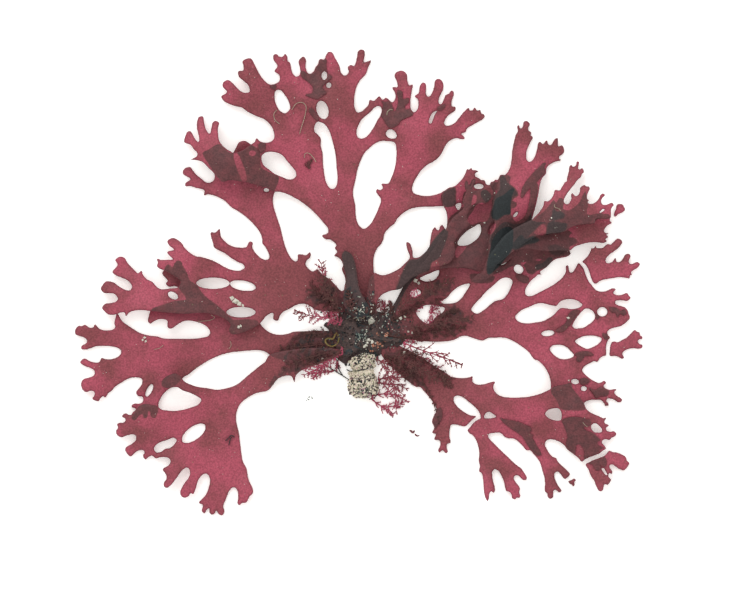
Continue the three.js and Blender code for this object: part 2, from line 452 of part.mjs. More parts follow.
// Left frond: it runs out level and ends in two hands, with a side branch forking above it.
frond("frond_left", ROSE, [
  -1.75, 0.55, -2.4, 0.75, -3.6, 0.8, -4.8, 0.75, -5.7, 0.7, -6.1, 0.55, -6.7, 0.45, -7.3, 0.5,
  -7.8, 0.7, -8.25, 1.05, -8.8, 1.65, -9.8, 1.8, -10.8, 1.75, -11.4, 2.3, -12.2, 3.0, -13.2, 3.75,
  -13.6, 4.25, -13.9, 4.7, -14.5, 5.1, -14.75, 5.75, -15.1, 6.35, -15.25, 6.7, -15.55, 6.8,
  -15.82, 6.55, -15.98, 6.2, -16.25, 6.42, -16.5, 6.4, -16.65, 6.1, -16.9, 5.7, -16.65, 5.35,
  -16.42, 5.05, -16.6, 4.85, -16.3, 4.55, -15.9, 4.62, -15.55, 4.5, -15.2, 4.1, -14.95, 3.75,
  -14.85, 3.45, -15.3, 3.4, -16.0, 3.3, -16.8, 3.0, -17.6, 2.75, -17.9, 2.5, -18.05, 2.0,
  -18.12, 1.6, -17.9, 1.4, -17.6, 1.6, -17.2, 1.77, -16.8, 1.78, -16.45, 1.65, -16.45, 1.3,
  -16.4, 1.05, -16.1, 0.98, -15.8, 1.15, -15.5, 1.38, -15.0, 1.62, -14.5, 1.65, -13.95, 1.55,
  -13.4, 1.35, -12.95, 1.0, -12.8, 0.65, -12.95, 0.35, -13.5, 0.2, -14.5, 0.1, -15.7, 0.1,
  -16.8, 0.15, -17.3, 0.3, -18.1, 0.4, -18.8, 0.6, -19.3, 0.9, -19.9, 1.3, -20.3, 1.6, -20.55, 2.0,
  -20.75, 2.32, -20.88, 1.9, -20.98, 1.4, -20.9, 1.1, -21.1, 0.9, -21.5, 0.83, -21.95, 0.85,
  -22.3, 1.0, -22.65, 1.37, -22.75, 1.1, -23.05, 1.05, -23.5, 1.3, -23.75, 1.18, -24.0, 1.22,
  -24.22, 1.05, -24.35, 0.75, -24.3, 0.5, -24.1, 0.38, -23.65, 0.25, -23.4, 0.1, -23.3, -0.1,
  -23.45, -0.32, -23.8, -0.52, -23.8, -0.75, -23.5, -0.82, -23.0, -0.7, -22.6, -0.55, -21.9, -0.5,
  -21.2, -0.55, -20.65, -0.7, -20.4, -0.95, -20.45, -1.2, -20.8, -1.5, -21.3, -1.64, -21.8, -1.62,
  -22.08, -1.52, -22.25, -1.88, -22.65, -1.92, -23.1, -1.8, -23.5, -1.58, -23.75, -1.68,
  -23.9, -1.92, -23.55, -2.2, -23.05, -2.38, -22.7, -2.62, -22.7, -2.98, -23.1, -3.2, -23.5, -3.3,
  -23.72, -3.45, -23.8, -3.75, -23.7, -4.2, -23.35, -4.45, -23.1, -4.35, -22.7, -4.4, -22.68, -4.75,
  -22.85, -5.0, -22.6, -5.18, -22.3, -5.2, -22.15, -4.95, -21.95, -4.8, -21.75, -4.92, -21.55, -4.6,
  -21.2, -4.3, -20.9, -3.97, -20.4, -3.65, -19.9, -3.35, -19.4, -3.2, -18.95, -3.2, -18.62, -3.35,
  -18.6, -3.65, -18.72, -3.92, -19.0, -4.25, -19.12, -4.5, -18.95, -4.78, -18.6, -4.85,
  // comb that hangs over the frond below
  -18.52, -5.05, -18.58, -5.3, -18.9, -5.45, -19.2, -5.42, -19.45, -5.53, -19.5, -5.75, -19.2, -5.83,
  -19.17, -6.05, -19.38, -6.35, -19.5, -6.6, -19.3, -6.85, -19.08, -6.75, -18.8, -6.42, -18.55, -6.32,
  -18.45, -6.6, -18.28, -6.68, -18.1, -6.5, -18.08, -6.15, -17.93, -6.05, -17.85, -6.45, -17.7, -6.63,
  -17.45, -6.62, -17.27, -6.25, -17.18, -5.85, -17.22, -5.45, -17.02, -4.98, -16.7, -4.5, -16.2, -4.1, -15.8, -3.9, -15.35, -3.5, -15.1, -3.2, -14.6, -2.9,
  -14.1, -2.5, -13.6, -2.15, -12.75, -1.65, -11.8, -1.25, -11.0, -1.05, -10.0, -0.95, -9.1, -0.87,
  -8.4, -0.9, -8.0, -1.05, -7.6, -1.35, -7.0, -1.6, -5.5, -1.8, -4.0, -1.5, -2.6, -1.1, -1.9, -0.6,
  -1.7, 0.0,
], [
  [-18.0, -4.3, 0.6, 0.22, 63],
]);

// Lower left frond: a broad blade that hangs down and to the left.
frond("frond_lower_left", ROSE, [
  -1.75, -0.85, -2.6, -0.7, -3.8, -0.65, -5.2, -0.75, -6.6, -0.95, -7.5, -1.15, -7.85, -1.4,
  -8.05, -1.8, -8.55, -2.2, -9.1, -2.65, -9.6, -3.05, -10.1, -3.5, -10.6, -3.85, -11.3, -4.1,
  -12.2, -4.25, -13.0, -4.12, -14.0, -3.95, -15.0, -3.5, -15.3, -3.1, -15.75, -2.85, -16.3, -3.0,
  -16.85, -3.4, -16.9, -3.9, -16.3, -4.1, -15.6, -4.0, -15.1, -4.3, -14.5, -4.5, -14.0, -4.75,
  -13.55, -5.1, -13.8, -5.5, -14.4, -5.75, -15.1, -5.95, -15.8, -6.05, -16.5, -6.0, -16.9, -5.92,
  -17.3, -5.65, -17.9, -5.5, -18.5, -5.48, -18.85, -5.65, -19.15, -5.98, -19.38, -6.15, -19.5, -6.37,
  -19.75, -6.37, -19.95, -6.25, -20.2, -6.35, -20.32, -6.52, -20.05, -6.68, -20.0, -6.85, -20.2, -7.05, -20.5, -7.05, -20.75, -7.2, -20.65, -7.45, -20.82, -7.75, -20.8, -8.0, -20.65, -8.2,
  -20.35, -8.3, -19.9, -8.15, -19.4, -8.05, -19.12, -8.2, -19.12, -8.5, -19.45, -8.85, -19.9, -9.1,
  -20.07, -9.35, -19.95, -9.62, -19.6, -9.95, -19.3, -9.7, -18.95, -9.45, -18.55, -9.4,
  -18.4, -9.6, -18.52, -9.9, -18.35, -10.2, -18.0, -9.95, -17.75, -9.87, -17.45, -10.1, -17.0, -10.0,
  -16.6, -10.0, -16.3, -10.1, -16.17, -10.35, -16.3, -10.65, -16.85, -11.05, -16.6, -11.4,
  -16.5, -11.8, -16.75, -12.2, -16.72, -12.5, -16.5, -12.62, -16.15, -12.4, -15.9, -12.1,
  -15.5, -11.55, -15.1, -11.05, -14.72, -10.88, -14.5, -11.2, -14.6, -11.7, -14.9, -12.1,
  -15.15, -12.5, -15.35, -12.95, -15.27, -13.3, -15.0, -13.47, -14.65, -13.35, -14.45, -13.05,
  -14.28, -13.17, -14.0, -12.6, -13.8, -11.95, -13.5, -11.55, -13.2, -11.4, -12.95, -11.55,
  -12.8, -12.0, -12.9, -12.5, -13.1, -13.1, -13.45, -13.55, -13.77, -13.9, -13.42, -14.1,
  -13.52, -14.6, -13.3, -14.82, -13.1, -14.5, -12.88, -14.37, -12.85, -14.77, -12.6, -14.92,
  -12.4, -14.8, -12.28, -14.55, -12.05, -14.9, -11.75, -14.97, -11.58, -14.65, -11.68, -14.2,
  -11.4, -13.45, -11.2, -12.95, -10.95, -12.63, -10.7, -12.6, -10.45, -12.9, -10.4, -13.5,
  -10.47, -13.95, -10.28, -14.12, -10.05, -13.9, -9.7, -13.87, -9.45, -13.4, -9.13, -13.05,
  -9.2, -12.55, -9.45, -12.1, -9.6, -11.55, -9.7, -10.95, -10.0, -10.4, -10.15, -9.55, -10.25, -8.7,
  -10.35, -7.9, -10.5, -7.3, -10.6, -6.6, -10.47, -5.95, -10.25, -5.5, -9.85, -5.1, -8.9, -4.55,
  -7.85, -4.3, -7.4, -3.8, -7.0, -3.3, -6.3, -3.05, -5.85, -3.1, -5.6, -3.62, -5.45, -3.0,
  -4.8, -2.5, -3.6, -2.1, -2.4, -1.6, -1.8, -1.3,
], [
  [-14.2, -7.97, 1.2, 0.55, 36],
  [-17.6, -9.3, -17.45, -9.0, -17.1, -8.75, -16.5, -8.55, -15.9, -8.35, -15.65, -8.55, -15.95, -9.0,
    -16.3, -9.25, -16.6, -9.28, -17.0, -9.55, -17.4, -9.6],
]);

// Upper left frond: a web with long windows, a fan at its far end and a long strap running up.
frond("frond_upper_left", ROSE, [
  -1.1, 2.3, -1.35, 2.8, -1.45, 3.4, -1.4, 4.0, -1.8, 4.35, -2.0, 4.6, -2.6, 5.2, -3.2, 5.6,
  -3.65, 6.05, -4.0, 5.85, -4.4, 6.1, -4.65, 6.5, -4.5, 6.85, -4.25, 7.05, -4.25, 7.5, -4.6, 7.25,
  -4.9, 7.3, -5.3, 7.3, -5.3, 6.95, -5.45, 6.72, -5.75, 6.85, -6.05, 7.25, -6.35, 7.9, -6.55, 8.55,
  -6.8, 9.6, -7.0, 10.2, -7.2, 10.8, -7.4, 11.5, -7.42, 12.2, -7.2, 12.9, -6.9, 13.9, -7.3, 14.15,
  -7.9, 14.4, -8.4, 14.7, -8.5, 15.3, -8.5, 15.9, -8.85, 16.4, -9.3, 16.7, -9.8, 17.0,
  -10.3, 16.9, -10.6, 16.4, -10.9, 15.95, -11.3, 16.1, -11.6, 16.4, -11.95, 16.7, -12.35, 16.6,
  -12.9, 16.25, -13.4, 16.0, -13.3, 15.6, -12.9, 15.0, -12.6, 14.5, -12.42, 14.05, -12.5, 13.65,
  -12.8, 13.45, -13.2, 13.5, -13.5, 13.75, -13.95, 14.1, -14.25, 14.45, -14.5, 14.77, -14.85, 14.72,
  -15.1, 14.5, -15.12, 14.2, -14.75, 13.95, -14.45, 13.75, -14.9, 13.42, -14.92, 13.15,
  -14.5, 13.15, -14.0, 13.0, -13.3, 12.78, -13.32, 12.35, -13.0, 12.45, -12.5, 12.35, -12.0, 12.15,
  -11.5, 11.85, -11.0, 11.35, -10.4, 11.0, -9.6, 10.4, -9.0, 9.8, -8.5, 9.1, -8.35, 8.6,
  -8.35, 8.3, -8.05, 7.9, -7.75, 7.2, -7.8, 6.93, -8.1, 6.85, -8.6, 7.1, -9.05, 7.6, -9.22, 8.0,
  -9.15, 8.3, -9.45, 8.42, -9.7, 7.95, -10.4, 7.9, -11.0, 8.05, -11.4, 8.3, -11.85, 8.8,
  -12.0, 9.5, -12.3, 9.2, -12.75, 9.17, -12.72, 8.85, -12.55, 8.3, -12.45, 7.92, -12.05, 7.65,
  -11.5, 7.38, -11.0, 7.0, -10.4, 6.65, -10.0, 6.48, -9.85, 6.2, -10.3, 5.92, -11.0, 6.0,
  -11.5, 6.2, -12.1, 6.55, -12.75, 6.85, -13.6, 7.1, -14.0, 7.15, -14.5, 7.45, -15.0, 7.9,
  -15.2, 8.25, -15.95, 8.72, -16.45, 8.42, -16.25, 8.05, -15.85, 7.72, -16.45, 7.52, -16.3, 7.25,
  -15.95, 6.9, -16.5, 6.85, -17.0, 6.85, -17.32, 6.97, -17.25, 6.6, -17.32, 6.3, -17.1, 6.1,
  -16.6, 5.9, -15.9, 5.5, -15.3, 5.0, -15.5, 4.5, -16.2, 4.4, -17.0, 4.35, -17.4, 4.6, -17.7, 4.95,
  -18.2, 5.2, -18.55, 5.6, -18.65, 5.92, -18.95, 5.7, -19.2, 5.9, -19.5, 6.2, -19.9, 6.65,
  -20.1, 7.0, -20.5, 7.12, -20.9, 6.85, -20.7, 6.45, -20.85, 6.2, -21.15, 5.82, -20.8, 5.5,
  -20.4, 5.35, -19.95, 5.15, -19.65, 4.9, -19.47, 4.6, -19.55, 4.3, -19.9, 4.25, -20.6, 4.6,
  -21.0, 4.9, -21.45, 5.02, -21.7, 5.0, -21.95, 4.72, -22.12, 4.4, -21.9, 4.05, -21.5, 4.0,
  -21.0, 3.95, -20.65, 3.5, -20.9, 3.25, -21.4, 3.15, -21.75, 3.1, -22.02, 2.75, -21.8, 2.45,
  -21.5, 2.2, -21.0, 2.15, -20.4, 2.35, -20.1, 2.35, -19.95, 2.0, -19.75, 2.3, -19.3, 2.5,
  -18.65, 2.55, -18.0, 2.5, -17.0, 2.4, -16.0, 2.3, -15.0, 2.25, -14.0, 2.3, -13.0, 2.3,
  -12.2, 2.1, -11.5, 1.8, -11.05, 1.3, -11.2, 0.85, -10.9, 0.5, -10.2, 0.6, -9.3, 0.95,
  -8.6, 1.35, -8.25, 1.75, -8.0, 2.05, -7.6, 2.3, -7.4, 2.3, -7.38, 1.75, -7.0, 1.65, -6.85, 2.05,
  -6.55, 2.4, -6.05, 2.65, -5.55, 2.95, -5.05, 3.1, -4.55, 3.05, -4.2, 2.85, -3.7, 2.55,
  -2.6, 2.45, -1.7, 2.2, -1.2, 1.95,
], [
  [-15.95, 3.8, 0.47, 0.28, -30],
  [-9.17, 15.93, 0.3, 0.24],
  [-8.0, 12.82, 0.24, 0.16],
  [-12.55, 4.85, 1.42, 0.48],
  [-10.0, 4.65, 1.12, 0.42, -10],
  [-10.15, 2.38, 1.25, 0.44],
]);

// Centre frond: the tallest. A trunk that forks round one tall window, with hands at every tip.
frond("frond_centre", ROSE, [
  0.8, 1.85, 1.1, 2.5, 1.2, 3.4, 1.25, 4.6, 1.2, 5.6, 1.15, 6.5, 1.2, 7.2, 1.45, 7.8, 1.8, 8.2,
  2.0, 8.6, 2.1, 9.1, 2.5, 9.6, 2.95, 9.95, 3.2, 10.4, 3.7, 10.85, 4.3, 11.2, 5.0, 11.35,
  6.05, 11.4, 7.1, 11.43, 8.1, 11.45, 8.2, 12.2, 8.1, 13.02, 7.6, 12.98, 7.2, 12.75, 6.85, 12.55,
  6.4, 12.4, 5.7, 12.3, 5.0, 12.4, 4.6, 12.55, 4.45, 12.85, 4.5, 13.2, 4.65, 13.6, 4.9, 14.0,
  5.15, 14.4, 5.5, 14.75, 5.8, 15.0, 6.2, 15.2, 6.6, 15.5, 6.95, 15.9, 7.1, 16.2, 7.3, 16.6,
  7.6, 16.97, 7.9, 17.15, 8.3, 17.25, 8.6, 17.17, 8.97, 17.2, 8.85, 17.42, 8.65, 17.62, 9.05, 17.78,
  9.1, 18.02, 9.4, 18.25, 9.8, 18.47, 10.2, 18.7, 10.5, 18.88, 10.67, 19.1, 10.55, 19.3,
  10.38, 19.35, 10.25, 19.68, 10.02, 19.6, 9.8, 19.87, 9.6, 19.62, 9.4, 19.6, 9.28, 19.85,
  9.0, 19.6, 8.7, 19.28, 8.4, 18.9, 8.1, 18.55, 7.7, 18.35, 7.4, 18.3, 7.2, 18.5, 7.3, 18.85,
  7.55, 19.2, 7.85, 19.4, 8.15, 19.65, 8.15, 19.92, 7.87, 19.97, 7.83, 20.3, 7.9, 20.6, 8.02, 21.0,
  8.0, 21.22, 7.8, 21.3, 7.6, 21.05, 7.33, 20.92, 7.2, 20.65, 7.05, 20.3, 6.88, 20.13, 6.72, 20.3,
  6.75, 20.65, 6.9, 21.0, 7.1, 21.4, 7.12, 21.9, 6.9, 22.25, 6.6, 22.3, 6.4, 22.1, 6.33, 21.6,
  6.2, 21.2, 6.0, 20.87, 5.8, 20.8, 5.65, 21.0, 5.65, 21.5, 5.6, 21.9, 5.35, 22.0, 5.1, 21.65,
  5.02, 21.1, 4.67, 20.83, 4.92, 20.6, 5.0, 20.2, 4.9, 19.7, 4.62, 19.45, 4.35, 19.75, 4.3, 20.2,
  4.35, 20.8, 4.45, 21.4, 4.5, 21.85, 4.22, 21.75, 4.05, 22.15, 4.0, 22.7, 3.65, 23.0, 3.1, 22.88,
  2.95, 22.6, 3.15, 22.1, 3.2, 21.6, 2.75, 21.6, 3.0, 21.1, 3.02, 20.65, 2.85, 20.35, 2.65, 20.35,
  2.45, 20.55, 2.2, 20.7, 1.95, 20.52, 1.65, 20.83, 1.45, 20.68, 1.2, 20.43, 0.83, 20.52,
  0.72, 20.1, 0.45, 19.8, 0.1, 19.5, -0.22, 19.45, -0.42, 19.75, -0.5, 20.3, -0.45, 20.95,
  -0.3, 21.6, -0.05, 22.1, 0.2, 22.4, 0.52, 22.75, 0.72, 23.35, 0.95, 23.9, 0.65, 23.8,
  0.32, 23.75, 0.4, 24.3, 0.38, 24.7, 0.1, 24.82, -0.17, 24.65, -0.25, 24.2, -0.35, 23.75,
  -0.5, 23.4, -0.77, 23.5, -1.05, 23.3, -0.95, 22.95, -1.1, 22.68, -1.35, 22.6, -1.62, 22.85,
  -1.75, 23.4, -2.1, 24.05, -2.4, 24.58, -2.7, 24.6, -2.92, 24.3, -3.05, 23.98, -3.45, 24.0,
  -3.6, 23.55, -3.82, 23.3, -3.95, 22.95, -4.3, 22.75, -4.52, 22.9, -4.65, 23.35, -4.62, 23.95,
  -4.8, 24.2, -5.05, 24.1, -5.25, 23.8, -5.15, 23.35, -5.1, 22.75, -5.4, 22.5, -5.7, 22.7,
  -5.88, 23.2, -5.98, 23.7, -6.2, 23.85, -6.2, 24.2, -6.4, 24.45, -6.6, 24.2, -6.9, 24.22,
  -7.15, 24.45, -7.4, 24.3, -7.38, 23.95, -7.05, 23.4, -7.3, 22.97, -6.9, 22.65, -6.88, 22.15,
  -7.35, 21.85, -7.75, 21.85, -8.15, 22.15, -8.5, 22.6, -8.8, 23.15, -9.05, 23.65, -9.3, 24.05,
  -9.7, 24.02, -10.03, 23.8, -9.95, 23.4, -9.97, 23.02, -10.37, 22.95, -10.35, 22.5, -10.0, 22.17,
  -9.58, 21.8, -9.42, 21.2, -9.75, 21.1, -10.15, 21.22, -10.5, 21.55, -10.9, 21.97, -11.25, 22.2,
  -11.68, 22.0, -11.72, 21.65, -11.35, 21.15, -11.85, 20.82, -11.55, 20.35, -10.75, 20.0,
  -10.1, 19.85, -9.6, 19.5, -8.9, 19.15, -8.25, 18.9, -7.85, 18.6, -7.5, 18.15, -7.35, 17.7,
  -7.33, 17.25, -7.55, 16.97, -7.95, 16.85, -8.5, 16.95, -8.82, 17.22, -8.98, 16.9, -9.4, 16.6,
  -9.8, 16.3, -10.3, 16.05, -10.75, 15.95, -11.05, 16.1, -11.45, 16.35, -11.85, 16.75,
  -12.05, 17.2, -12.12, 18.1, -12.02, 18.55, -12.3, 18.7, -12.55, 18.6, -12.68, 18.1,
  -12.82, 17.6, -13.1, 17.9, -13.3, 18.5, -13.42, 19.1, -13.75, 19.05, -13.92, 18.6,
  -13.92, 18.1, -13.75, 17.4, -13.75, 16.87, -14.1, 17.2, -14.5, 17.85, -14.75, 17.75,
  -14.92, 17.4, -15.0, 16.9, -14.45, 16.65, -14.2, 16.3, -13.87, 15.95, -13.95, 15.65, -14.42, 15.42,
  -13.95, 15.35, -13.5, 15.22, -13.2, 15.0, -12.9, 14.65, -12.6, 14.4, -12.4, 14.15, -12.05, 13.8,
  -11.75, 13.5, -11.1, 13.65, -9.7, 13.45, -8.2, 13.05, -7.2, 12.65, -6.9, 12.65, -6.3, 12.5,
  -5.5, 12.1, -5.0, 11.8, -4.0, 11.0, -3.1, 10.0, -2.72, 9.5, -2.75, 9.12, -3.25, 8.93,
  -2.95, 8.62, -2.6, 8.6, -2.2, 8.35, -2.02, 8.1, -2.15, 7.85, -1.95, 7.55, -2.2, 7.2, -1.9, 7.08,
  -1.6, 6.8, -1.45, 6.4, -1.55, 6.05, -1.3, 5.4, -1.2, 4.6, -1.0, 3.6, -0.7, 2.6, -0.4, 1.95,
  0.2, 1.7,
], [
  [0.3, 9.5, 0.9, 9.9, 1.3, 10.6, 1.6, 11.3, 1.8, 12.0, 1.55, 12.4, 1.38, 12.65, 1.45, 12.9,
    1.7, 12.8, 1.97, 13.0, 1.82, 13.35, 2.4, 13.37, 2.7, 13.9, 2.95, 14.6, 3.1, 15.5, 3.1, 16.4,
    2.97, 16.85, 2.3, 17.0, 1.8, 17.0, 1.3, 16.8, 0.8, 16.4, 0.4, 16.0, 0.05, 15.3, -0.2, 14.6,
    -0.4, 13.6, -0.6, 12.6, -0.4, 11.5, -0.35, 10.6, -0.2, 10.0],
  [2.5, 18.0, 2.2, 17.65, 2.4, 17.32, 2.95, 17.2, 3.15, 17.45, 2.87, 17.9],
  [0.1, 17.2, 0.6, 17.4, 1.0, 17.9, 1.3, 18.4, 1.5, 18.8, 1.75, 19.2, 1.85, 19.75, 1.62, 20.0,
    1.3, 19.9, 0.8, 19.4, 0.2, 18.9, -0.1, 18.4, -0.3, 17.8, -0.2, 17.35],
  [-3.65, 18.62, -3.9, 18.2, -3.88, 17.8, -3.6, 17.55, -3.35, 17.2, -3.35, 16.6, -3.2, 16.0,
    -3.15, 15.0, -3.05, 14.2, -2.9, 13.5, -2.6, 13.0, -2.3, 12.9, -2.03, 13.15, -1.92, 13.8,
    -2.0, 14.8, -2.1, 15.9, -2.3, 16.8, -2.6, 17.8, -2.95, 18.35, -3.3, 18.58],
  [-3.2, 19.65, 0.8, 0.5, 105],
  [-3.04, 22.58, 0.24, 0.37],
  [-2.66, 21.76, 0.22, 0.24],
  [-7.2, 21.3, -6.8, 21.35, -6.4, 20.9, -6.1, 20.4, -5.97, 19.8, -6.4, 19.37, -6.85, 19.6,
    -7.15, 20.1, -7.3, 20.7],
  [-8.4, 15.65, -8.15, 15.95, -7.7, 16.06, -7.1, 16.0, -6.6, 15.75, -6.2, 15.25, -5.8, 14.8,
    -5.5, 14.4, -5.45, 14.05, -5.65, 13.8, -6.05, 13.7, -6.6, 13.9, -7.2, 14.15, -7.75, 14.55,
    -8.2, 14.9],
  [6.6, 19.62, 6.2, 19.4, 5.95, 18.95, 5.87, 18.6, 6.05, 18.47, 6.2, 18.75, 6.37, 19.2],
]);

// Upper right: five fronds crowd over each other here, the inner one first.
frond("frond_upper_right_inner", DEEP_ROSE, [
  1.05, 1.75, 1.42, 2.05, 1.42, 2.6, 1.45, 3.2, 1.8, 3.8, 2.6, 4.2, 3.4, 4.35, 3.9, 4.8, 4.5, 5.35,
  5.1, 5.5, 6.0, 5.85, 6.8, 6.08, 7.5, 6.17, 8.3, 6.2, 9.2, 6.15, 9.9, 5.9, 10.6, 5.8, 11.2, 6.1,
  11.6, 6.7, 11.8, 7.3, 11.6, 8.0, 11.3, 8.7, 11.0, 9.3, 11.2, 9.8, 11.6, 10.15, 12.0, 10.4,
  12.4, 10.6, 12.7, 10.75, 12.85, 11.15, 13.3, 11.35, 13.37, 11.7, 12.95, 11.9, 13.2, 12.1,
  13.47, 12.4, 13.35, 12.8, 13.05, 13.05, 12.8, 13.1, 12.75, 13.5, 12.7, 14.0, 12.4, 14.1,
  12.0, 14.1, 11.9, 13.92, 11.75, 13.68, 11.55, 13.7, 11.4, 13.55, 11.17, 13.5, 11.1, 13.27,
  10.78, 13.3, 10.7, 13.55, 10.55, 13.68, 10.35, 13.68, 10.15, 13.83, 9.85, 13.98, 9.87, 14.27,
  10.13, 14.4, 9.8, 14.52, 9.6, 14.53, 9.5, 14.72, 9.35, 14.53, 9.15, 14.62, 9.03, 14.3,
  8.85, 13.95, 8.6, 13.6, 8.3, 13.3, 8.0, 13.1, 7.6, 13.0, 7.3, 12.8, 7.02, 12.5, 7.02, 12.0,
  7.15, 11.4, 7.38, 10.9, 7.45, 10.3, 7.42, 9.8, 7.37, 9.4, 7.2, 9.6, 7.03, 9.83, 6.83, 9.7,
  6.75, 9.4, 6.58, 9.4, 6.42, 9.65, 6.2, 9.4, 6.08, 9.0, 6.0, 8.5, 5.9, 7.95, 5.4, 7.35, 5.0, 7.07,
  4.57, 7.05, 4.47, 7.7, 4.25, 8.27, 3.97, 8.37, 4.05, 7.7, 4.25, 7.05, 3.8, 6.5, 3.35, 6.1,
  2.8, 5.8, 2.1, 5.55, 1.6, 5.6, 1.25, 5.75, 0.8, 5.2, 0.6, 4.2, 0.45, 3.0, 0.5, 1.9,
], [
  [8.4, 8.1, 8.75, 8.05, 9.15, 8.1, 9.55, 8.3, 10.0, 8.65, 10.25, 9.0, 10.35, 9.4, 10.22, 9.9,
    9.7, 9.65, 9.2, 9.35, 8.8, 9.0, 8.5, 8.65, 8.33, 8.3],
  [8.15, 11.5, 8.35, 11.68, 8.62, 11.68, 8.62, 11.4, 8.4, 11.1],
  [10.15, 13.12, 0.42, 0.22],
]);
frond("frond_upper_right_band", DEEP_ROSE, [
  4.6, 5.7, 5.2, 6.4, 6.0, 7.4, 6.6, 8.3, 7.1, 9.1, 7.5, 9.8, 7.9, 10.4, 8.4, 10.85, 8.8, 11.2,
  8.75, 11.7, 8.85, 12.2, 9.05, 12.65, 9.0, 13.1, 9.05, 13.55, 9.2, 13.3, 9.45, 13.1, 9.6, 13.55,
  9.8, 13.68, 9.75, 13.3, 9.6, 12.85, 9.9, 12.72, 10.3, 12.8, 10.7, 12.8, 11.0, 12.6, 11.35, 12.25,
  11.05, 11.9, 10.7, 11.65, 10.2, 11.55, 9.9, 11.6, 9.55, 11.35, 9.3, 11.0, 9.1, 10.4, 9.4, 10.0,
  9.1, 9.6, 8.7, 9.25, 8.3, 8.8, 8.05, 8.3, 8.1, 7.7, 8.0, 7.1, 7.6, 6.6, 6.8, 6.3, 6.0, 6.1,
  5.2, 5.7,
]);
frond("frond_upper_right_tall", ROSE, [
  9.5, 4.95, 9.95, 4.97, 10.5, 5.05, 11.0, 5.35, 11.35, 5.55, 11.35, 5.9, 11.9, 6.7, 12.5, 7.4,
  13.0, 8.1, 13.5, 8.8, 14.0, 9.4, 14.5, 9.95, 14.7, 10.4, 14.85, 10.95, 15.0, 11.5, 15.15, 12.1,
  15.27, 12.7, 15.35, 13.2, 15.45, 13.6, 15.6, 13.9, 15.87, 14.17, 15.9, 14.5, 16.0, 14.8,
  16.3, 15.03, 16.6, 15.2, 16.95, 15.3, 17.27, 15.35, 17.02, 15.48, 17.0, 15.65, 17.35, 15.92,
  17.45, 16.15, 17.4, 16.42, 17.28, 16.63, 16.93, 16.55, 16.92, 16.9, 16.87, 17.25, 16.65, 17.17,
  16.5, 16.95, 16.37, 16.72, 16.2, 16.65, 16.05, 16.8, 15.98, 17.08, 15.82, 16.95, 15.65, 16.73,
  15.5, 16.83, 15.4, 16.95, 15.22, 16.8, 15.15, 16.4, 15.05, 16.0, 14.9, 15.6, 14.7, 15.33,
  14.45, 15.22, 14.25, 15.4, 14.2, 15.8, 14.27, 16.25, 14.45, 16.65, 14.62, 17.0, 14.78, 17.3,
  14.57, 17.52, 14.65, 17.72, 14.42, 17.9, 14.38, 18.15, 14.52, 18.4, 14.4, 18.62, 14.2, 18.72,
  13.98, 18.62, 13.93, 18.3, 13.78, 18.07, 13.65, 18.12, 13.58, 18.38, 13.43, 18.25, 13.5, 17.85,
  13.32, 17.55, 13.2, 17.1, 13.1, 16.65, 13.0, 16.1, 12.95, 15.5, 12.85, 14.9, 12.7, 14.5,
  12.45, 14.15, 12.1, 13.95, 11.85, 13.6, 11.7, 13.1, 11.6, 12.6, 11.4, 12.0, 11.3, 11.3,
  11.3, 10.6, 11.48, 10.0, 11.2, 9.3, 11.0, 8.6, 10.95, 8.0, 10.85, 7.2, 10.7, 6.4, 10.4, 5.85,
  9.85, 5.5,
], [
  [13.27, 10.7, 0.28, 0.12, 50],
]);
frond("frond_upper_right_low", ROSE, [
  11.2, 6.9, 12.0, 7.2, 13.0, 7.6, 14.0, 7.8, 15.0, 7.7, 16.0, 7.6, 17.0, 7.65, 17.9, 7.65,
  18.3, 7.95, 18.7, 8.1, 19.2, 8.25, 19.6, 8.33, 20.1, 8.35, 20.5, 8.32, 20.85, 8.3, 21.1, 8.45,
  20.95, 8.62, 21.22, 8.8, 21.05, 8.98, 21.32, 9.17, 20.97, 9.15, 20.85, 9.35, 20.98, 9.62,
  21.25, 9.85, 21.52, 10.0, 21.35, 10.2, 21.38, 10.5, 21.2, 10.7, 20.8, 10.77, 20.4, 10.8,
  20.0, 10.75, 19.6, 10.67, 19.35, 10.7, 19.35, 11.2, 19.45, 11.8, 19.35, 12.2, 19.17, 12.62,
  18.97, 12.3, 18.8, 11.9, 18.45, 11.5, 18.1, 11.2, 17.6, 11.05, 17.3, 11.2, 17.35, 11.7,
  17.2, 12.1, 16.95, 11.9, 16.85, 11.3, 16.5, 10.9, 16.2, 10.5, 15.6, 10.2, 14.9, 9.9, 14.2, 9.5,
  13.5, 9.2, 12.9, 8.8, 12.2, 8.3, 11.6, 7.7,
]);
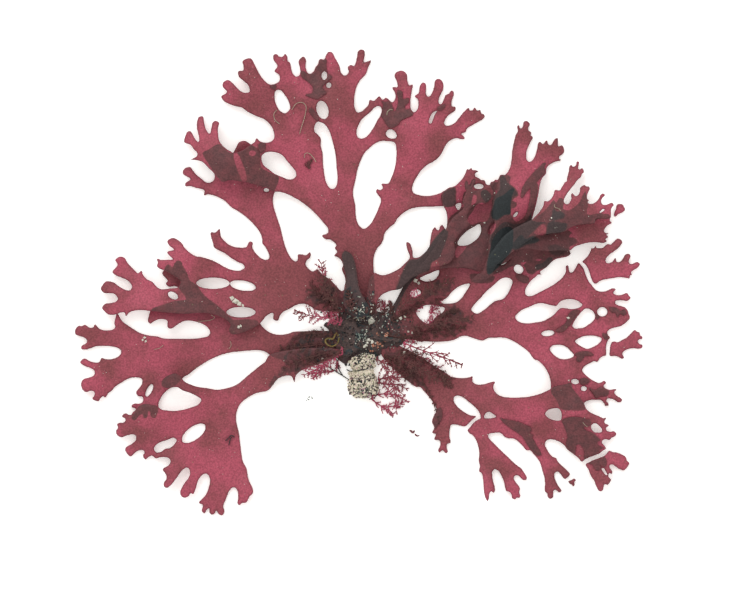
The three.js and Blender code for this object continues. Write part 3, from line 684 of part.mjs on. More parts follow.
frond("frond_upper_right_fan", ROSE, [
  10.6, 6.2, 11.3, 6.2, 12.2, 6.9, 13.2, 7.7, 14.2, 8.4, 15.1, 8.9, 16.0, 9.05, 16.8, 9.15,
  17.4, 9.25, 17.9, 9.58, 18.5, 9.8, 19.3, 9.93, 20.0, 10.0, 20.05, 10.32, 20.5, 10.4, 21.0, 10.38,
  21.37, 10.45, 21.4, 10.95, 21.48, 11.3, 21.67, 11.52, 21.5, 11.72, 21.25, 11.63, 20.95, 11.53,
  20.65, 11.6, 20.57, 11.85, 20.7, 12.15, 20.92, 12.37, 20.75, 12.5, 20.52, 12.38, 20.4, 12.1,
  20.15, 11.82, 19.9, 11.65, 19.5, 11.63, 19.4, 11.82, 19.57, 11.93, 19.38, 12.0, 19.37, 12.35,
  19.5, 12.68, 19.6, 12.9, 19.5, 13.12, 19.33, 13.07, 19.18, 13.23, 18.95, 13.15, 18.77, 12.97,
  18.75, 12.7, 18.62, 12.4, 18.42, 12.27, 18.25, 12.35, 18.1, 12.53, 17.98, 12.35, 18.03, 12.1,
  17.93, 11.85, 17.78, 11.63, 17.58, 11.57, 17.4, 11.7, 17.37, 11.95, 17.6, 12.4, 17.97, 12.9,
  18.3, 13.3, 18.6, 13.7, 18.85, 13.9, 18.95, 14.17, 19.12, 14.35, 18.97, 14.7, 18.78, 14.57,
  18.65, 14.62, 18.68, 14.95, 18.7, 15.2, 18.55, 15.28, 18.45, 14.95, 18.3, 14.8, 18.15, 14.82,
  18.03, 14.97, 17.88, 14.8, 17.83, 14.4, 17.73, 14.05, 17.65, 13.75, 17.65, 13.55, 17.45, 13.45,
  17.35, 13.25, 17.18, 13.0, 17.05, 12.77, 16.62, 12.78, 16.5, 12.4, 16.3, 12.07, 15.98, 11.82,
  15.72, 11.87, 15.6, 11.4, 15.3, 10.95, 15.0, 10.6, 14.6, 10.25, 13.9, 9.9, 13.1, 9.5, 12.3, 8.9,
  11.6, 8.1, 11.0, 7.2,
], [
  [20.65, 11.03, 0.28, 0.09, 38],
]);
frond("fragment_upper_right", ROSE, [
  21.75, 10.52, 21.72, 10.85, 21.87, 11.2, 21.95, 11.55, 22.2, 11.63, 22.42, 11.58, 22.55, 11.38,
  22.65, 11.12, 22.4, 10.9, 22.1, 10.77,
]);

// A second strap on the trunk, almost black where the two lie double.
frond("stem_strap", NEAR_BLACK, [
  0.1, 1.95, -0.5, 2.05, -1.05, 2.5, -1.4, 3.2, -1.35, 4.4, -1.2, 5.3, -1.4, 6.3, -1.55, 7.2, -1.3, 7.62,
  -0.7, 7.3, -0.4, 6.5, -0.2, 5.2, 0.0, 4.3, 0.4, 3.5, 0.8, 2.8, 0.7, 2.1,
]);

// Tufts of a finer red seaweed that grows on the bases: a main stem with side shoots to both sides,
// which are longest in the middle. The route is a short list of points from root to tip.
function tuft(name, route, longest, lean = 1.0, shoots = 6) {
  const points = [];
  for (let i = 0; i < route.length; i += 2) points.push(new THREE.Vector3(route[i], route[i + 1], 0));
  const spine = new THREE.CatmullRomCurve3(points, false, "centripetal");
  const half = 0.2;
  const sides = [[], []];
  for (let i = 0; i < shoots; i += 1) {
    const along = (i + 0.6) / (shoots + 0.3);
    const grown = longest * (0.45 + 0.55 * Math.sin(Math.PI * Math.min(1, along + 0.15)));
    const foot = spine.getPointAt(along);
    const ahead = spine.getTangentAt(along);
    sides.forEach((side, k) => {
      const hand = k ? -1 : 1;
      const out = new THREE.Vector3(-ahead.y * hand, ahead.x * hand, 0);
      const way = ahead.clone().multiplyScalar(Math.cos(lean)).addScaledVector(out, Math.sin(lean));
      const across = new THREE.Vector3(-way.y * hand, way.x * hand, 0);
      const tip = foot.clone().addScaledVector(way, grown * (k === i % 2 ? 1 : 0.82));
      side.push(
        foot.clone().addScaledVector(out, half).addScaledVector(ahead, -half * 0.8),
        tip.clone().addScaledVector(across, 0.13),
        tip.clone().addScaledVector(across, -0.13),
        foot.clone().addScaledVector(out, half).addScaledVector(ahead, half * 0.8),
      );
    });
  }
  const end = spine.getPointAt(1);
  const outline = [...sides[0], end, ...sides[1].reverse()];
  frond(name, MAGENTA, outline.flatMap((p) => [p.x, p.y]));
}

lay(overHoldfast, dome(HOLDFAST));
tuft("tuft_upper_left", [-1.8, 2.2, -2.5, 3.8, -3.1, 5.2, -3.3, 6.6], 1.3);
tuft("tuft_left", [-1.5, 1.4, -2.8, 1.9, -4.2, 2.1, -5.6, 2.4], 1.1);
tuft("tuft_lower_left", [-1.4, -0.6, -2.4, -1.5, -3.4, -2.3, -4.8, -3.0], 1.2);
tuft("tuft_lower", [1.9, -1.6, 2.4, -3.0, 3.0, -4.6, 3.1, -6.2], 1.3);
tuft("tuft_lower_right", [2.9, -1.2, 4.2, -2.0, 5.4, -2.6, 6.6, -3.6], 1.2);
tuft("tuft_right_lower", [3.6, -0.2, 5.4, -0.9, 7.2, -1.5, 8.8, -2.2], 1.2, 1.0, 7);
tuft("tuft_right", [4.2, 1.0, 5.8, 1.3, 7.6, 1.6, 9.6, 1.9], 1.2, 1.0, 7);
tuft("tuft_upper_right", [3.2, 2.6, 4.6, 3.6, 6.2, 4.4, 7.9, 5.1], 1.2, 1.0, 7);

export default group;
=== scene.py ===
import bpy
import numpy as np
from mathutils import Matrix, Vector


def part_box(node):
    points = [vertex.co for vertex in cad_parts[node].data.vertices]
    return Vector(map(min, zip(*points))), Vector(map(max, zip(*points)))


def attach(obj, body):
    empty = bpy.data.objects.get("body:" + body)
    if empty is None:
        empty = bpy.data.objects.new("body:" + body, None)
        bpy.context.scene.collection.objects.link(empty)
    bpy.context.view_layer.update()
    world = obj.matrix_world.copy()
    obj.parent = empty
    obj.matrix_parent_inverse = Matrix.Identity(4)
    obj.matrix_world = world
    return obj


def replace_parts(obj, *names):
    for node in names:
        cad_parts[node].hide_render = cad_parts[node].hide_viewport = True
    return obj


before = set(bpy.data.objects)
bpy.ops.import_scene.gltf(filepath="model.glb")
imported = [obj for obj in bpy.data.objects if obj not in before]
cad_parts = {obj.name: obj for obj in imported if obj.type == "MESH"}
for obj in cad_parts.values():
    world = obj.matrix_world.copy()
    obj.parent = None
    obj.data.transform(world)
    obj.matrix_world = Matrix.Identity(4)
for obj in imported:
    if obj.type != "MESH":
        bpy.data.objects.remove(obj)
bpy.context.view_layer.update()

# The fronds. Each is one thin dried blade that forks flat, with a smooth rim cut into teeth and windows.
# The solid of each frond gives its outline and how it drapes over the others; the blade here follows both,
# thinner and with a rounded rim. Where blades lie over each other the red turns brown, then almost black.
PITCH = 0.1  # mm between the points of a blade's grid
FIELD = np.array([-25.6, -16.2])  # mm, the grid's first point
COLUMNS, ROWS = 512, 424
BLADE = 0.32  # mm, thickness of a blade away from its rim
SOLID = 0.6  # mm, thickness of the solid that the blade stands for
ROUNDED = 0.22  # mm, how far in from the rim a blade has its whole thickness
REACH = 0.9  # mm, how far from a rim its distance is worked out
ON_RIM = 0.012  # mm, a grid point nearer to the rim than this counts as just inside it
TABLE_LIGHT = 0.86  # share of a colour's light that makes it look right on the bright table
FRONDS = [
    "frond_right", "fragment_right_upper", "fragment_right", "frond_lower_right", "fragment_lower_right",
    "scrap_lower_right", "frond_left", "frond_lower_left", "frond_upper_left", "frond_centre",
    "frond_upper_right_inner", "frond_upper_right_band", "frond_upper_right_tall", "frond_upper_right_low",
    "frond_upper_right_fan", "fragment_upper_right", "stem_strap",
]


def upper_side(node):
    """The solid's upper side, its points in mm and its triangles: those whose normals point up."""
    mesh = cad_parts[node].data
    points = np.empty(3 * len(mesh.vertices))
    mesh.vertices.foreach_get("co", points)
    corners = np.empty(3 * len(mesh.polygons), int)
    mesh.polygons.foreach_get("vertices", corners)
    corner = 1000 * points.reshape(-1, 3)[corners.reshape(-1, 3)]
    normal = np.cross(corner[:, 1] - corner[:, 0], corner[:, 2] - corner[:, 0])
    corner = corner[normal[:, 2] > 0.3 * np.linalg.norm(normal, axis=1)]
    sheet, index = np.unique(np.round(corner.reshape(-1, 3), 3), axis=0, return_inverse=True)
    return sheet, index.reshape(-1, 3)


def rims_of(triangles):
    """Closed rows of points round the sheet: an edge that only one triangle uses lies on a rim."""
    edges = np.concatenate([triangles[:, [0, 1]], triangles[:, [1, 2]], triangles[:, [2, 0]]])
    pairs = set(map(tuple, edges.tolist()))
    following = {a: b for a, b in pairs if (b, a) not in pairs}
    rims = []
    while following:
        first, step = following.popitem()
        rim = [first]
        while step != first:
            rim.append(step)
            step = following.pop(step)
        rims.append(rim)
    return rims


def smooth_rim(points, steps=5):
    """A closed centripetal spline through the points: between each two it blends straight lines through
    the four nearest ones, and time runs as the square root of distance."""
    four = np.stack([np.roll(points, shift, 0) for shift in (1, 0, -1, -2)], 1)
    gaps = np.sqrt(np.linalg.norm(np.diff(four, axis=1), axis=2)) + 1e-5
    time = np.concatenate([np.zeros((len(four), 1)), np.cumsum(gaps, 1)], 1)
    now = time[:, 1:2] + gaps[:, 1:2] * np.arange(steps) / steps

    def blend(a, b, i, j):
        share = ((now - time[:, i : i + 1]) / (time[:, j : j + 1] - time[:, i : i + 1]))[..., None]
        return a * (1 - share) + b * share

    p = [four[:, k][:, None] for k in range(4)]
    a = [blend(p[k], p[k + 1], k, k + 1) for k in range(3)]
    b = [blend(a[k], a[k + 1], k, k + 2) for k in range(2)]
    return blend(b[0], b[1], 1, 2).reshape(-1, 2)


def depth_inside(rims):
    """How deep each grid point lies inside the rims, in mm and negative outside. A point is inside where a
    line from it crosses the rims an odd number of times; its depth is the distance to the nearest rim."""
    start = np.concatenate(rims)
    along = np.concatenate([np.roll(rim, -1, 0) for rim in rims]) - start
    low = np.minimum(start[:, 1], start[:, 1] + along[:, 1])
    first = np.ceil((low - FIELD[1]) / PITCH).astype(int)
    last = np.ceil((low + abs(along[:, 1]) - FIELD[1]) / PITCH).astype(int)
    count = last - first
    which = np.repeat(np.arange(len(start)), count)
    row = np.arange(len(which)) - np.repeat(np.cumsum(count) - count, count) + first[which]
    share = (FIELD[1] + row * PITCH - start[which, 1]) / along[which, 1]
    column = np.ceil((start[which, 0] + share * along[which, 0] - FIELD[0]) / PITCH).astype(int)
    crossings = np.zeros((ROWS, COLUMNS), int)
    np.add.at(crossings, (row, column), 1)
    inside = np.cumsum(crossings, 1) % 2 == 1
    near = np.full((ROWS, COLUMNS), REACH)
    middle = np.round((start + along / 2 - FIELD) / PITCH).astype(int)
    span = int(REACH / PITCH) + 2
    squared = (along**2).sum(1) + 1e-12
    for across in range(-span, span + 1):
        for up in range(-span, span + 1):
            cell = middle + (across, up)
            to_cell = FIELD + cell * PITCH - start
            share = np.clip((to_cell * along).sum(1) / squared, 0, 1)[:, None]
            distance = np.linalg.norm(to_cell - share * along, axis=1)
            np.minimum.at(near, (cell[:, 1], cell[:, 0]), distance)
    return np.where(inside, near, -near)


def inside_outline(outline):
    """How deep each grid point lies inside one drawn outline, made smooth."""
    return depth_inside([smooth_rim(np.array(outline))])


def inside_solid(sheet, triangles):
    """How deep each grid point lies inside a solid's upper side, with its rims made smooth."""
    return depth_inside([smooth_rim(sheet[rim][:, :2]) for rim in rims_of(triangles)])


def softened(grid, known, radius, times):
    """The mean of the known values in a square round each point, worked out with running sums."""
    for _ in range(times):
        for axis in (0, 1):
            total = np.cumsum(np.where(known, grid, 0), axis)
            share = np.cumsum(known.astype(float), axis)
            ahead = np.minimum(np.arange(grid.shape[axis]) + radius, grid.shape[axis] - 1)
            behind = np.maximum(np.arange(grid.shape[axis]) - radius - 1, 0)
            total = np.take(total, ahead, axis) - np.take(total, behind, axis)
            share = np.take(share, ahead, axis) - np.take(share, behind, axis)
            grid = np.where(share > 0.5, total / np.maximum(share, 1), grid)
            known = share > 0.5
    return grid, known


def drape(sheet, triangles, soften=4):
    """The sheet's height on the grid: each triangle's plane at the grid points inside it, carried on past
    the rim by the mean of what is known, and softened so that the triangles' edges don't show."""
    a, b, c = (sheet[triangles[:, k]] for k in range(3))
    area = (b[:, 0] - a[:, 0]) * (c[:, 1] - a[:, 1]) - (b[:, 1] - a[:, 1]) * (c[:, 0] - a[:, 0])
    low = np.floor((np.minimum(np.minimum(a, b), c)[:, :2] - FIELD) / PITCH).astype(int)
    high = np.ceil((np.maximum(np.maximum(a, b), c)[:, :2] - FIELD) / PITCH).astype(int)
    height = np.zeros((ROWS, COLUMNS))
    known = np.zeros((ROWS, COLUMNS), bool)
    wide, tall = (high - low).max(0) + 1
    for across in range(wide):
        for up in range(tall):
            cell = low + (across, up)
            p = FIELD + cell * PITCH
            u = (b[:, 0] - p[:, 0]) * (c[:, 1] - p[:, 1]) - (b[:, 1] - p[:, 1]) * (c[:, 0] - p[:, 0])
            v = (c[:, 0] - p[:, 0]) * (a[:, 1] - p[:, 1]) - (c[:, 1] - p[:, 1]) * (a[:, 0] - p[:, 0])
            u, v = u / area, v / area
            hit = (u >= -0.01) & (v >= -0.01) & (u + v <= 1.01)
            z = u * a[:, 2] + v * b[:, 2] + (1 - u - v) * c[:, 2]
            height[cell[hit, 1], cell[hit, 0]] = z[hit]
            known[cell[hit, 1], cell[hit, 0]] = True
    spread, reached = softened(height, known, 3, 3)
    height = np.where(known, height, spread)
    return softened(height, reached | known, soften, 2)[0]


def at(grid, xy):
    """The grid's value at points between its own, from the four round each."""
    u, v = ((xy - FIELD) / PITCH).T
    i = np.clip(np.floor(u).astype(int), 0, COLUMNS - 2)
    j = np.clip(np.floor(v).astype(int), 0, ROWS - 2)
    u, v = u - i, v - j
    low = grid[j, i] * (1 - u) + grid[j, i + 1] * u
    high = grid[j + 1, i] * (1 - u) + grid[j + 1, i + 1] * u
    return low * (1 - v) + high * v


def cut_out(depth):
    """Triangles of the grid with the part outside cut away: a triangle that the rim crosses is cut where
    the depth passes zero. Gives the flat points, their triangles, and the edges along the rim."""
    depth = np.where(abs(depth) < ON_RIM, ON_RIM, depth)
    flat = depth.ravel()
    inside = depth > 0
    j, i = np.nonzero(inside[:-1, :-1] | inside[1:, :-1] | inside[:-1, 1:] | inside[1:, 1:])
    c = j * COLUMNS + i
    triangles = np.concatenate(
        [np.stack([c, c + 1, c + COLUMNS + 1], 1), np.stack([c, c + COLUMNS + 1, c + COLUMNS], 1)]
    )
    inner = flat[triangles] > 0
    number = inner.sum(1)
    kept = [triangles[number == 3]]
    cuts = []
    for wanted, odd_one_in in ((1, True), (2, False)):
        part, part_in = triangles[number == wanted], inner[number == wanted]
        odd = np.argmax(part_in == odd_one_in, 1)
        p, q, r = (part[np.arange(len(part)), (odd + k) % 3] for k in range(3))
        cuts.append((odd_one_in, p, q, r))
    ends = np.concatenate([np.stack([p, other], 1) for _, p, q, r in cuts for other in (q, r)])
    low, high = ends.min(1), ends.max(1)
    key, first, place = np.unique(low * (ROWS * COLUMNS) + high, return_index=True, return_inverse=True)
    low, high = low[first], high[first]
    share = flat[low] / (flat[low] - flat[high])
    used = np.unique(np.concatenate([triangles[inner]]))
    new_name = np.full(ROWS * COLUMNS, -1)
    new_name[used] = np.arange(len(used))

    def place_of(index):
        return FIELD + PITCH * np.stack([index % COLUMNS, index // COLUMNS], -1)

    crossed = place_of(low) + share[:, None] * (place_of(high) - place_of(low))
    points = np.concatenate([place_of(used), crossed])
    place = place + len(used)
    kept = [new_name[kept[0]]]
    at_cut = 0
    for odd_one_in, p, q, r in cuts:
        to_q, to_r = place[at_cut : at_cut + len(p)], place[at_cut + len(p) : at_cut + 2 * len(p)]
        at_cut += 2 * len(p)
        if odd_one_in:
            kept.append(np.stack([new_name[p], to_q, to_r], 1))
        else:
            kept.append(np.stack([to_q, new_name[q], new_name[r]], 1))
            kept.append(np.stack([to_q, new_name[r], to_r], 1))
    kept = np.concatenate(kept)
    edges = np.concatenate([kept[:, [0, 1]], kept[:, [1, 2]], kept[:, [2, 0]]])
    forward = edges[:, 0] * len(points) + edges[:, 1]
    backward = edges[:, 1] * len(points) + edges[:, 0]
    return points, kept, edges[~np.isin(forward, backward)]


def mesh_piece(name, points, faces, material, values=None, smooth=True):
    """Puts points in mm and faces into a mesh at the origin, with one number per point for each value, and
    lets it ride with the plant's one body."""
    mesh = bpy.data.meshes.new(name)
    faces = np.asarray(faces)
    sides = faces.shape[1]
    mesh.vertices.add(len(points))
    mesh.vertices.foreach_set("co", (np.asarray(points) * 0.001).ravel())
    mesh.loops.add(faces.size)
    mesh.loops.foreach_set("vertex_index", faces.ravel())
    mesh.polygons.add(len(faces))
    mesh.polygons.foreach_set("loop_start", np.arange(0, faces.size, sides))
    mesh.polygons.foreach_set("loop_total", np.full(len(faces), sides))
    mesh.polygons.foreach_set("use_smooth", np.full(len(faces), smooth))
    mesh.update()
    mesh.validate()
    for label, numbers in (values or {}).items():
        attribute = mesh.attributes.new(label, "FLOAT", "POINT")
        attribute.data.foreach_set("value", np.asarray(numbers, np.float32))
    mesh.materials.append(material)
    piece = bpy.data.objects.new(name, mesh)
    bpy.context.scene.collection.objects.link(piece)
    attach(piece, "root")
    return piece


def shade(r, g, b):
    """A colour as seen on screen, 0 to 255, made linear and darkened for the bright table."""
    seen = np.array([r, g, b]) / 255
    linear = np.where(seen > 0.04045, ((seen + 0.055) / 1.055) ** 2.4, seen / 12.92)
    return (*(linear * TABLE_LIGHT).tolist(), 1.0)


def add(tree, kind, settings, inputs):
    """A shader node: its settings, then its inputs, each linked where it is a socket and set where not."""
    node = tree.nodes.new(kind)
    for name, value in settings.items():
        setattr(node, name, value)
    for name, value in inputs.items():
        if isinstance(value, bpy.types.NodeSocket):
            tree.links.new(value, node.inputs[name])
        else:
            node.inputs[name].default_value = value
    return node


def mixed(tree, share, a, b, blend="MIX"):
    """Colour a with a share of colour b mixed in."""
    settings = {"data_type": "RGBA", "blend_type": blend}
    return add(tree, "ShaderNodeMix", settings, {0: share, 6: a, 7: b}).outputs[2]


def between(tree, value, low, high, to_low=0.0, to_high=1.0):
    """Goes smoothly from to_low to to_high while the value goes from low to high, and stays there outside."""
    settings = {"interpolation_type": "SMOOTHSTEP"}
    inputs = {"Value": value, "From Min": low, "From Max": high, "To Min": to_low, "To Max": to_high}
    return add(tree, "ShaderNodeMapRange", settings, inputs).outputs["Result"]


def reckoned(tree, operation, a, b):
    """The two numbers put together by the operation."""
    return add(tree, "ShaderNodeMath", {"operation": operation}, {0: a, 1: b}).outputs[0]


def noise(tree, place, scale, detail):
    """Cloudy noise round one half, with so many clouds in a millimetre."""
    inputs = {"Vector": place, "Scale": scale, "Detail": detail}
    return add(tree, "ShaderNodeTexNoise", {}, inputs).outputs["Fac"]


def colour_group(name, numbers, colours):
    """An empty node group that takes a place in mm, numbers and colours by name, and gives a colour and a
    relief; comes with its input sockets."""
    tree = bpy.data.node_groups.new(name, "ShaderNodeTree")
    tree.interface.new_socket("Position", in_out="INPUT", socket_type="NodeSocketVector")
    for label in numbers:
        tree.interface.new_socket(label, in_out="INPUT", socket_type="NodeSocketFloat")
    for label in colours:
        tree.interface.new_socket(label, in_out="INPUT", socket_type="NodeSocketColor")
    tree.interface.new_socket("Colour", in_out="OUTPUT", socket_type="NodeSocketColor")
    tree.interface.new_socket("Relief", in_out="OUTPUT", socket_type="NodeSocketFloat")
    return tree, add(tree, "NodeGroupInput", {}, {}).outputs


def new_material(name):
    """An empty material, its node tree, and the place on the object in mm."""
    material = bpy.data.materials.new(name)
    material.use_nodes = True
    tree = material.node_tree
    tree.nodes.clear()
    here = add(tree, "ShaderNodeTexCoord", {}, {}).outputs["Object"]
    in_mm = add(tree, "ShaderNodeVectorMath", {"operation": "SCALE"}, {0: here, "Scale": 1000.0})
    return material, tree, in_mm.outputs[0]


def read_value(tree, label):
    """The number that the mesh holds under this name at each point."""
    return add(tree, "ShaderNodeAttribute", {"attribute_name": label}, {}).outputs["Fac"]


def add_surface(tree, inputs):
    """The surface that the material ends in, with its inputs by name."""
    shader = add(tree, "ShaderNodeBsdfPrincipled", {}, inputs)
    add(tree, "ShaderNodeOutputMaterial", {}, {"Surface": shader.outputs[0]})


def layer_colours():
    """Node group that colours dried blades: from one blade's own two reds to brown where two lie together
    and near black where more do, with a darker rim, a duller base, and fine grain and specks."""
    colours = ("Fresh", "Dull", "Double", "Triple")
    tree, given = colour_group("dried_blades", ("Layers", "Rim", "Age"), colours)
    clouds = noise(tree, given["Position"], 0.32, 3.0)
    grain = noise(tree, given["Position"], 7.0, 3.0)
    mottle = noise(tree, given["Position"], 1.6, 4.0)
    dull = between(tree, clouds, 0.36, 0.68)
    dull = reckoned(tree, "MAXIMUM", dull, between(tree, given["Age"], 0.2, 0.95))
    colour = mixed(tree, dull, given["Fresh"], given["Dull"])
    rim = between(tree, given["Rim"], 0.0, 0.16, 0.5, 0.0)
    colour = mixed(tree, rim, colour, shade(104, 28, 50))
    brown = mixed(tree, between(tree, mottle, 0.4, 0.65, 0.0, 0.3), given["Double"], given["Dull"])
    colour = mixed(tree, between(tree, given["Layers"], 1.2, 1.8), colour, brown)
    colour = mixed(tree, between(tree, given["Layers"], 2.2, 2.8), colour, given["Triple"])
    colour = mixed(tree, between(tree, given["Layers"], 3.1, 3.7, 0.0, 0.9), colour, shade(34, 44, 46))
    fleck = add(tree, "ShaderNodeTexVoronoi", {}, {"Vector": given["Position"], "Scale": 2.6})
    chosen = between(tree, fleck.outputs["Color"], 0.84, 0.87)
    chosen = reckoned(tree, "MULTIPLY", chosen, between(tree, fleck.outputs["Distance"], 0.1, 0.2, 0.45, 0.0))
    colour = mixed(tree, chosen, colour, shade(128, 128, 92))
    light = between(tree, grain, 0.25, 0.75, 0.74, 1.26)
    light = add(tree, "ShaderNodeCombineColor", {}, {"Red": light, "Green": light, "Blue": light}).outputs[0]
    colour = mixed(tree, 1.0, colour, light, "MULTIPLY")
    relief = reckoned(tree, "ADD", grain, reckoned(tree, "MULTIPLY", mottle, 1.5))
    add(tree, "NodeGroupOutput", {}, {"Colour": colour, "Relief": relief})
    return tree


dried_blades = layer_colours()


def blade_material(name, fresh, dull, double, triple, roughness):
    """Dried blade: the shared colouring with this piece's own four colours, as seen on screen, a weak gloss
    and a fine grain."""
    material, tree, here = new_material(name)
    given = {"Position": here}
    for label, colour in (("Fresh", fresh), ("Dull", dull), ("Double", double), ("Triple", triple)):
        given[label] = shade(*colour)
    for label in ("Layers", "Rim", "Age"):
        given[label] = read_value(tree, label.lower())
    blades = add(tree, "ShaderNodeGroup", {"node_tree": dried_blades}, given).outputs
    relief = {"Height": blades["Relief"], "Strength": 0.25, "Distance": 0.00005}
    bump = add(tree, "ShaderNodeBump", {}, relief)
    look = {"Base Color": blades["Colour"], "Roughness": roughness, "Specular IOR Level": 0.25}
    add_surface(tree, {**look, "Normal": bump.outputs[0]})
    return material


red_blade = blade_material("red_blade", (176, 80, 98), (136, 69, 74), (98, 58, 60), (72, 54, 54), 0.5)

# Lappets. In a few places a frond lies double on itself, where a lobe has folded under or a second small
# blade has dried against it. They are flat scraps of the same blade that cling to the frond's surface.
LAPPETS = {
    "frond_centre": [
        [(-5.04, 23.0), (-5.0, 22.5), (-4.36, 21.97), (-4.02, 21.54), (-4.1, 21.11), (-4.7, 20.94),
         (-4.27, 20.72), (-3.59, 20.56), (-3.08, 20.94), (-2.82, 21.11), (-3.21, 21.57), (-2.91, 21.97),
         (-2.36, 22.48), (-2.74, 22.8), (-2.86, 23.5), (-2.87, 23.97), (-3.42, 24.02), (-3.59, 23.5),
         (-3.85, 23.25), (-4.07, 22.82), (-4.36, 22.74), (-4.7, 22.91)],
        [(-4.42, 19.66), (-4.18, 19.82), (-3.5, 18.92), (-3.66, 18.7)],
        [(-7.7, 21.72), (-7.2, 21.86), (-7.18, 21.42), (-7.5, 21.42)],
        [(1.45, 19.49), (1.79, 19.66), (1.97, 20.17), (1.71, 20.51), (2.14, 20.34), (2.56, 20.43),
         (2.77, 20.0), (2.94, 19.49), (3.13, 19.83), (3.25, 20.51), (3.16, 21.28), (3.62, 21.23),
         (3.68, 20.6), (4.19, 20.68), (4.15, 20.26), (3.85, 20.0), (3.93, 19.69), (4.36, 19.79),
         (4.55, 19.28), (3.93, 18.94), (3.5, 18.72), (3.25, 18.38), (2.56, 18.1), (2.26, 18.38),
         (1.97, 18.89), (1.62, 19.28)],
        [(6.6, 19.85), (7.2, 20.15), (7.3, 19.95), (6.9, 19.6), (6.65, 19.62)],
        [(-8.63, 16.75), (-8.1, 16.84), (-8.05, 16.3), (-8.46, 15.98), (-8.66, 16.3)],
    ],
    "frond_right": [
        [(16.67, 0.77), (17.09, 1.11), (17.6, 1.54), (17.69, 2.05), (18.2, 2.56), (18.8, 2.5),
         (18.38, 1.88), (18.12, 1.45), (17.78, 1.11), (17.44, 0.74), (17.0, 0.65)],
        [(21.28, 2.77), (21.97, 2.72), (22.24, 2.39), (21.97, 1.93), (21.79, 2.31), (21.45, 2.39)],
        [(22.28, 2.5), (22.6, 2.62), (22.78, 2.3), (22.5, 2.08), (22.25, 2.28)],
        [(20.7, 0.6), (21.05, 0.55), (21.3, 0.7), (21.35, 0.3), (21.1, 0.0), (20.78, 0.2)],
        [(18.32, -1.23), (18.55, -1.06), (19.06, -0.94), (19.57, -0.99), (20.0, -1.28), (19.66, -1.37),
         (19.23, -1.37), (19.06, -1.62), (18.72, -1.91), (18.46, -1.71), (18.55, -1.45)],
        [(18.8, -3.35), (19.2, -3.22), (19.66, -3.45), (19.4, -3.75), (18.97, -3.85), (18.76, -3.6)],
        [(19.49, -4.02), (20.09, -4.27), (20.51, -4.02), (21.03, -4.1), (21.28, -4.48), (21.03, -4.79),
         (20.51, -4.79), (20.17, -4.96), (19.91, -4.62), (19.66, -4.27)],
        [(13.33, 5.73), (13.93, 5.56), (14.44, 5.3), (14.36, 4.87), (13.85, 4.92), (13.42, 5.21)],
        [(20.1, 2.2), (20.5, 2.1), (20.3, 1.8), (20.12, 1.85)],
    ],
    "frond_lower_right": [
        [(17.2, -6.9), (17.4, -6.7), (18.1, -6.55), (18.6, -6.55), (19.2, -6.7), (19.65, -6.8),
         (19.7, -7.1), (19.6, -7.35), (19.2, -7.35), (19.05, -7.5), (19.3, -7.7), (19.7, -7.85),
         (20.0, -8.0), (20.3, -8.3), (20.55, -8.55), (20.3, -8.7), (20.3, -8.9), (20.6, -9.1),
         (20.85, -9.2), (20.5, -9.35), (20.5, -9.55), (20.2, -9.8), (19.7, -9.99), (19.2, -10.2),
         (19.15, -9.8), (19.1, -9.4), (18.95, -9.1), (18.7, -8.9), (18.5, -8.95), (18.4, -9.3),
         (18.35, -9.85), (18.0, -9.6), (17.7, -9.35), (17.6, -9.0), (17.6, -8.7), (17.7, -8.3),
         (17.5, -7.6), (17.3, -7.1)],
        [(11.9, -6.6), (12.3, -6.75), (13.0, -6.85), (13.6, -7.0), (14.1, -7.2), (14.6, -7.5),
         (14.6, -7.75), (14.5, -7.95), (14.8, -8.1), (14.7, -8.3), (14.9, -8.6), (15.1, -9.0),
         (15.4, -9.5), (15.5, -9.8), (15.2, -9.9), (15.0, -9.85), (14.6, -9.4), (14.2, -8.8),
         (13.9, -8.3), (13.4, -7.9), (12.8, -7.5), (12.3, -7.1), (12.0, -6.75)],
        [(6.6, -5.9), (6.9, -5.8), (7.05, -6.4), (6.95, -6.8), (6.6, -7.3), (6.4, -7.6), (6.2, -7.2),
         (6.3, -6.5)],
    ],
    "fragment_lower_right": [
        [(19.5, -10.5), (20.2, -10.15), (20.85, -9.9), (21.05, -10.3), (21.05, -10.6), (20.9, -10.85),
         (20.6, -10.7), (20.45, -10.62), (20.6, -11.0), (20.4, -11.1), (20.15, -11.1), (19.95, -10.85),
         (19.8, -10.6)],
    ],
    "frond_upper_right_tall": [
        [(13.7, 12.2), (13.85, 13.0), (14.2, 13.6), (14.8, 14.3), (15.3, 14.8), (15.7, 15.15), (15.9, 15.1),
         (15.75, 14.8), (15.9, 14.4), (15.5, 13.9), (15.1, 13.5), (14.7, 13.2), (14.2, 12.6), (13.8, 12.1)],
        [(14.6, 13.2), (15.1, 13.4), (15.2, 12.9), (15.05, 12.1), (14.85, 11.3), (14.6, 10.7), (14.1, 10.3),
         (14.3, 11.2), (14.5, 12.2)],
    ],
}
CLING = 0.02  # mm of air under a lappet
LAPPET = 0.12  # mm, its thickness

blades = {}
for node in FRONDS:
    sheet, triangles = upper_side(node)
    blades[node] = {"depth": inside_solid(sheet, triangles), "top": drape(sheet, triangles)}
lappets = {}
for node, outlines in LAPPETS.items():
    depth = np.max([inside_outline(outline) for outline in outlines], 0)
    lappets[node] = np.minimum(depth, blades[node]["depth"])

across, up = np.meshgrid(FIELD[0] + PITCH * np.arange(COLUMNS), FIELD[1] + PITCH * np.arange(ROWS))


def covered(depth):
    """The share of each grid square that an outline covers: half of it where the rim passes."""
    return np.clip(0.5 + depth / PITCH, 0, 1)


layers = sum(covered(blade["depth"]) for blade in blades.values())
layers = layers + sum(covered(depth) for depth in lappets.values())

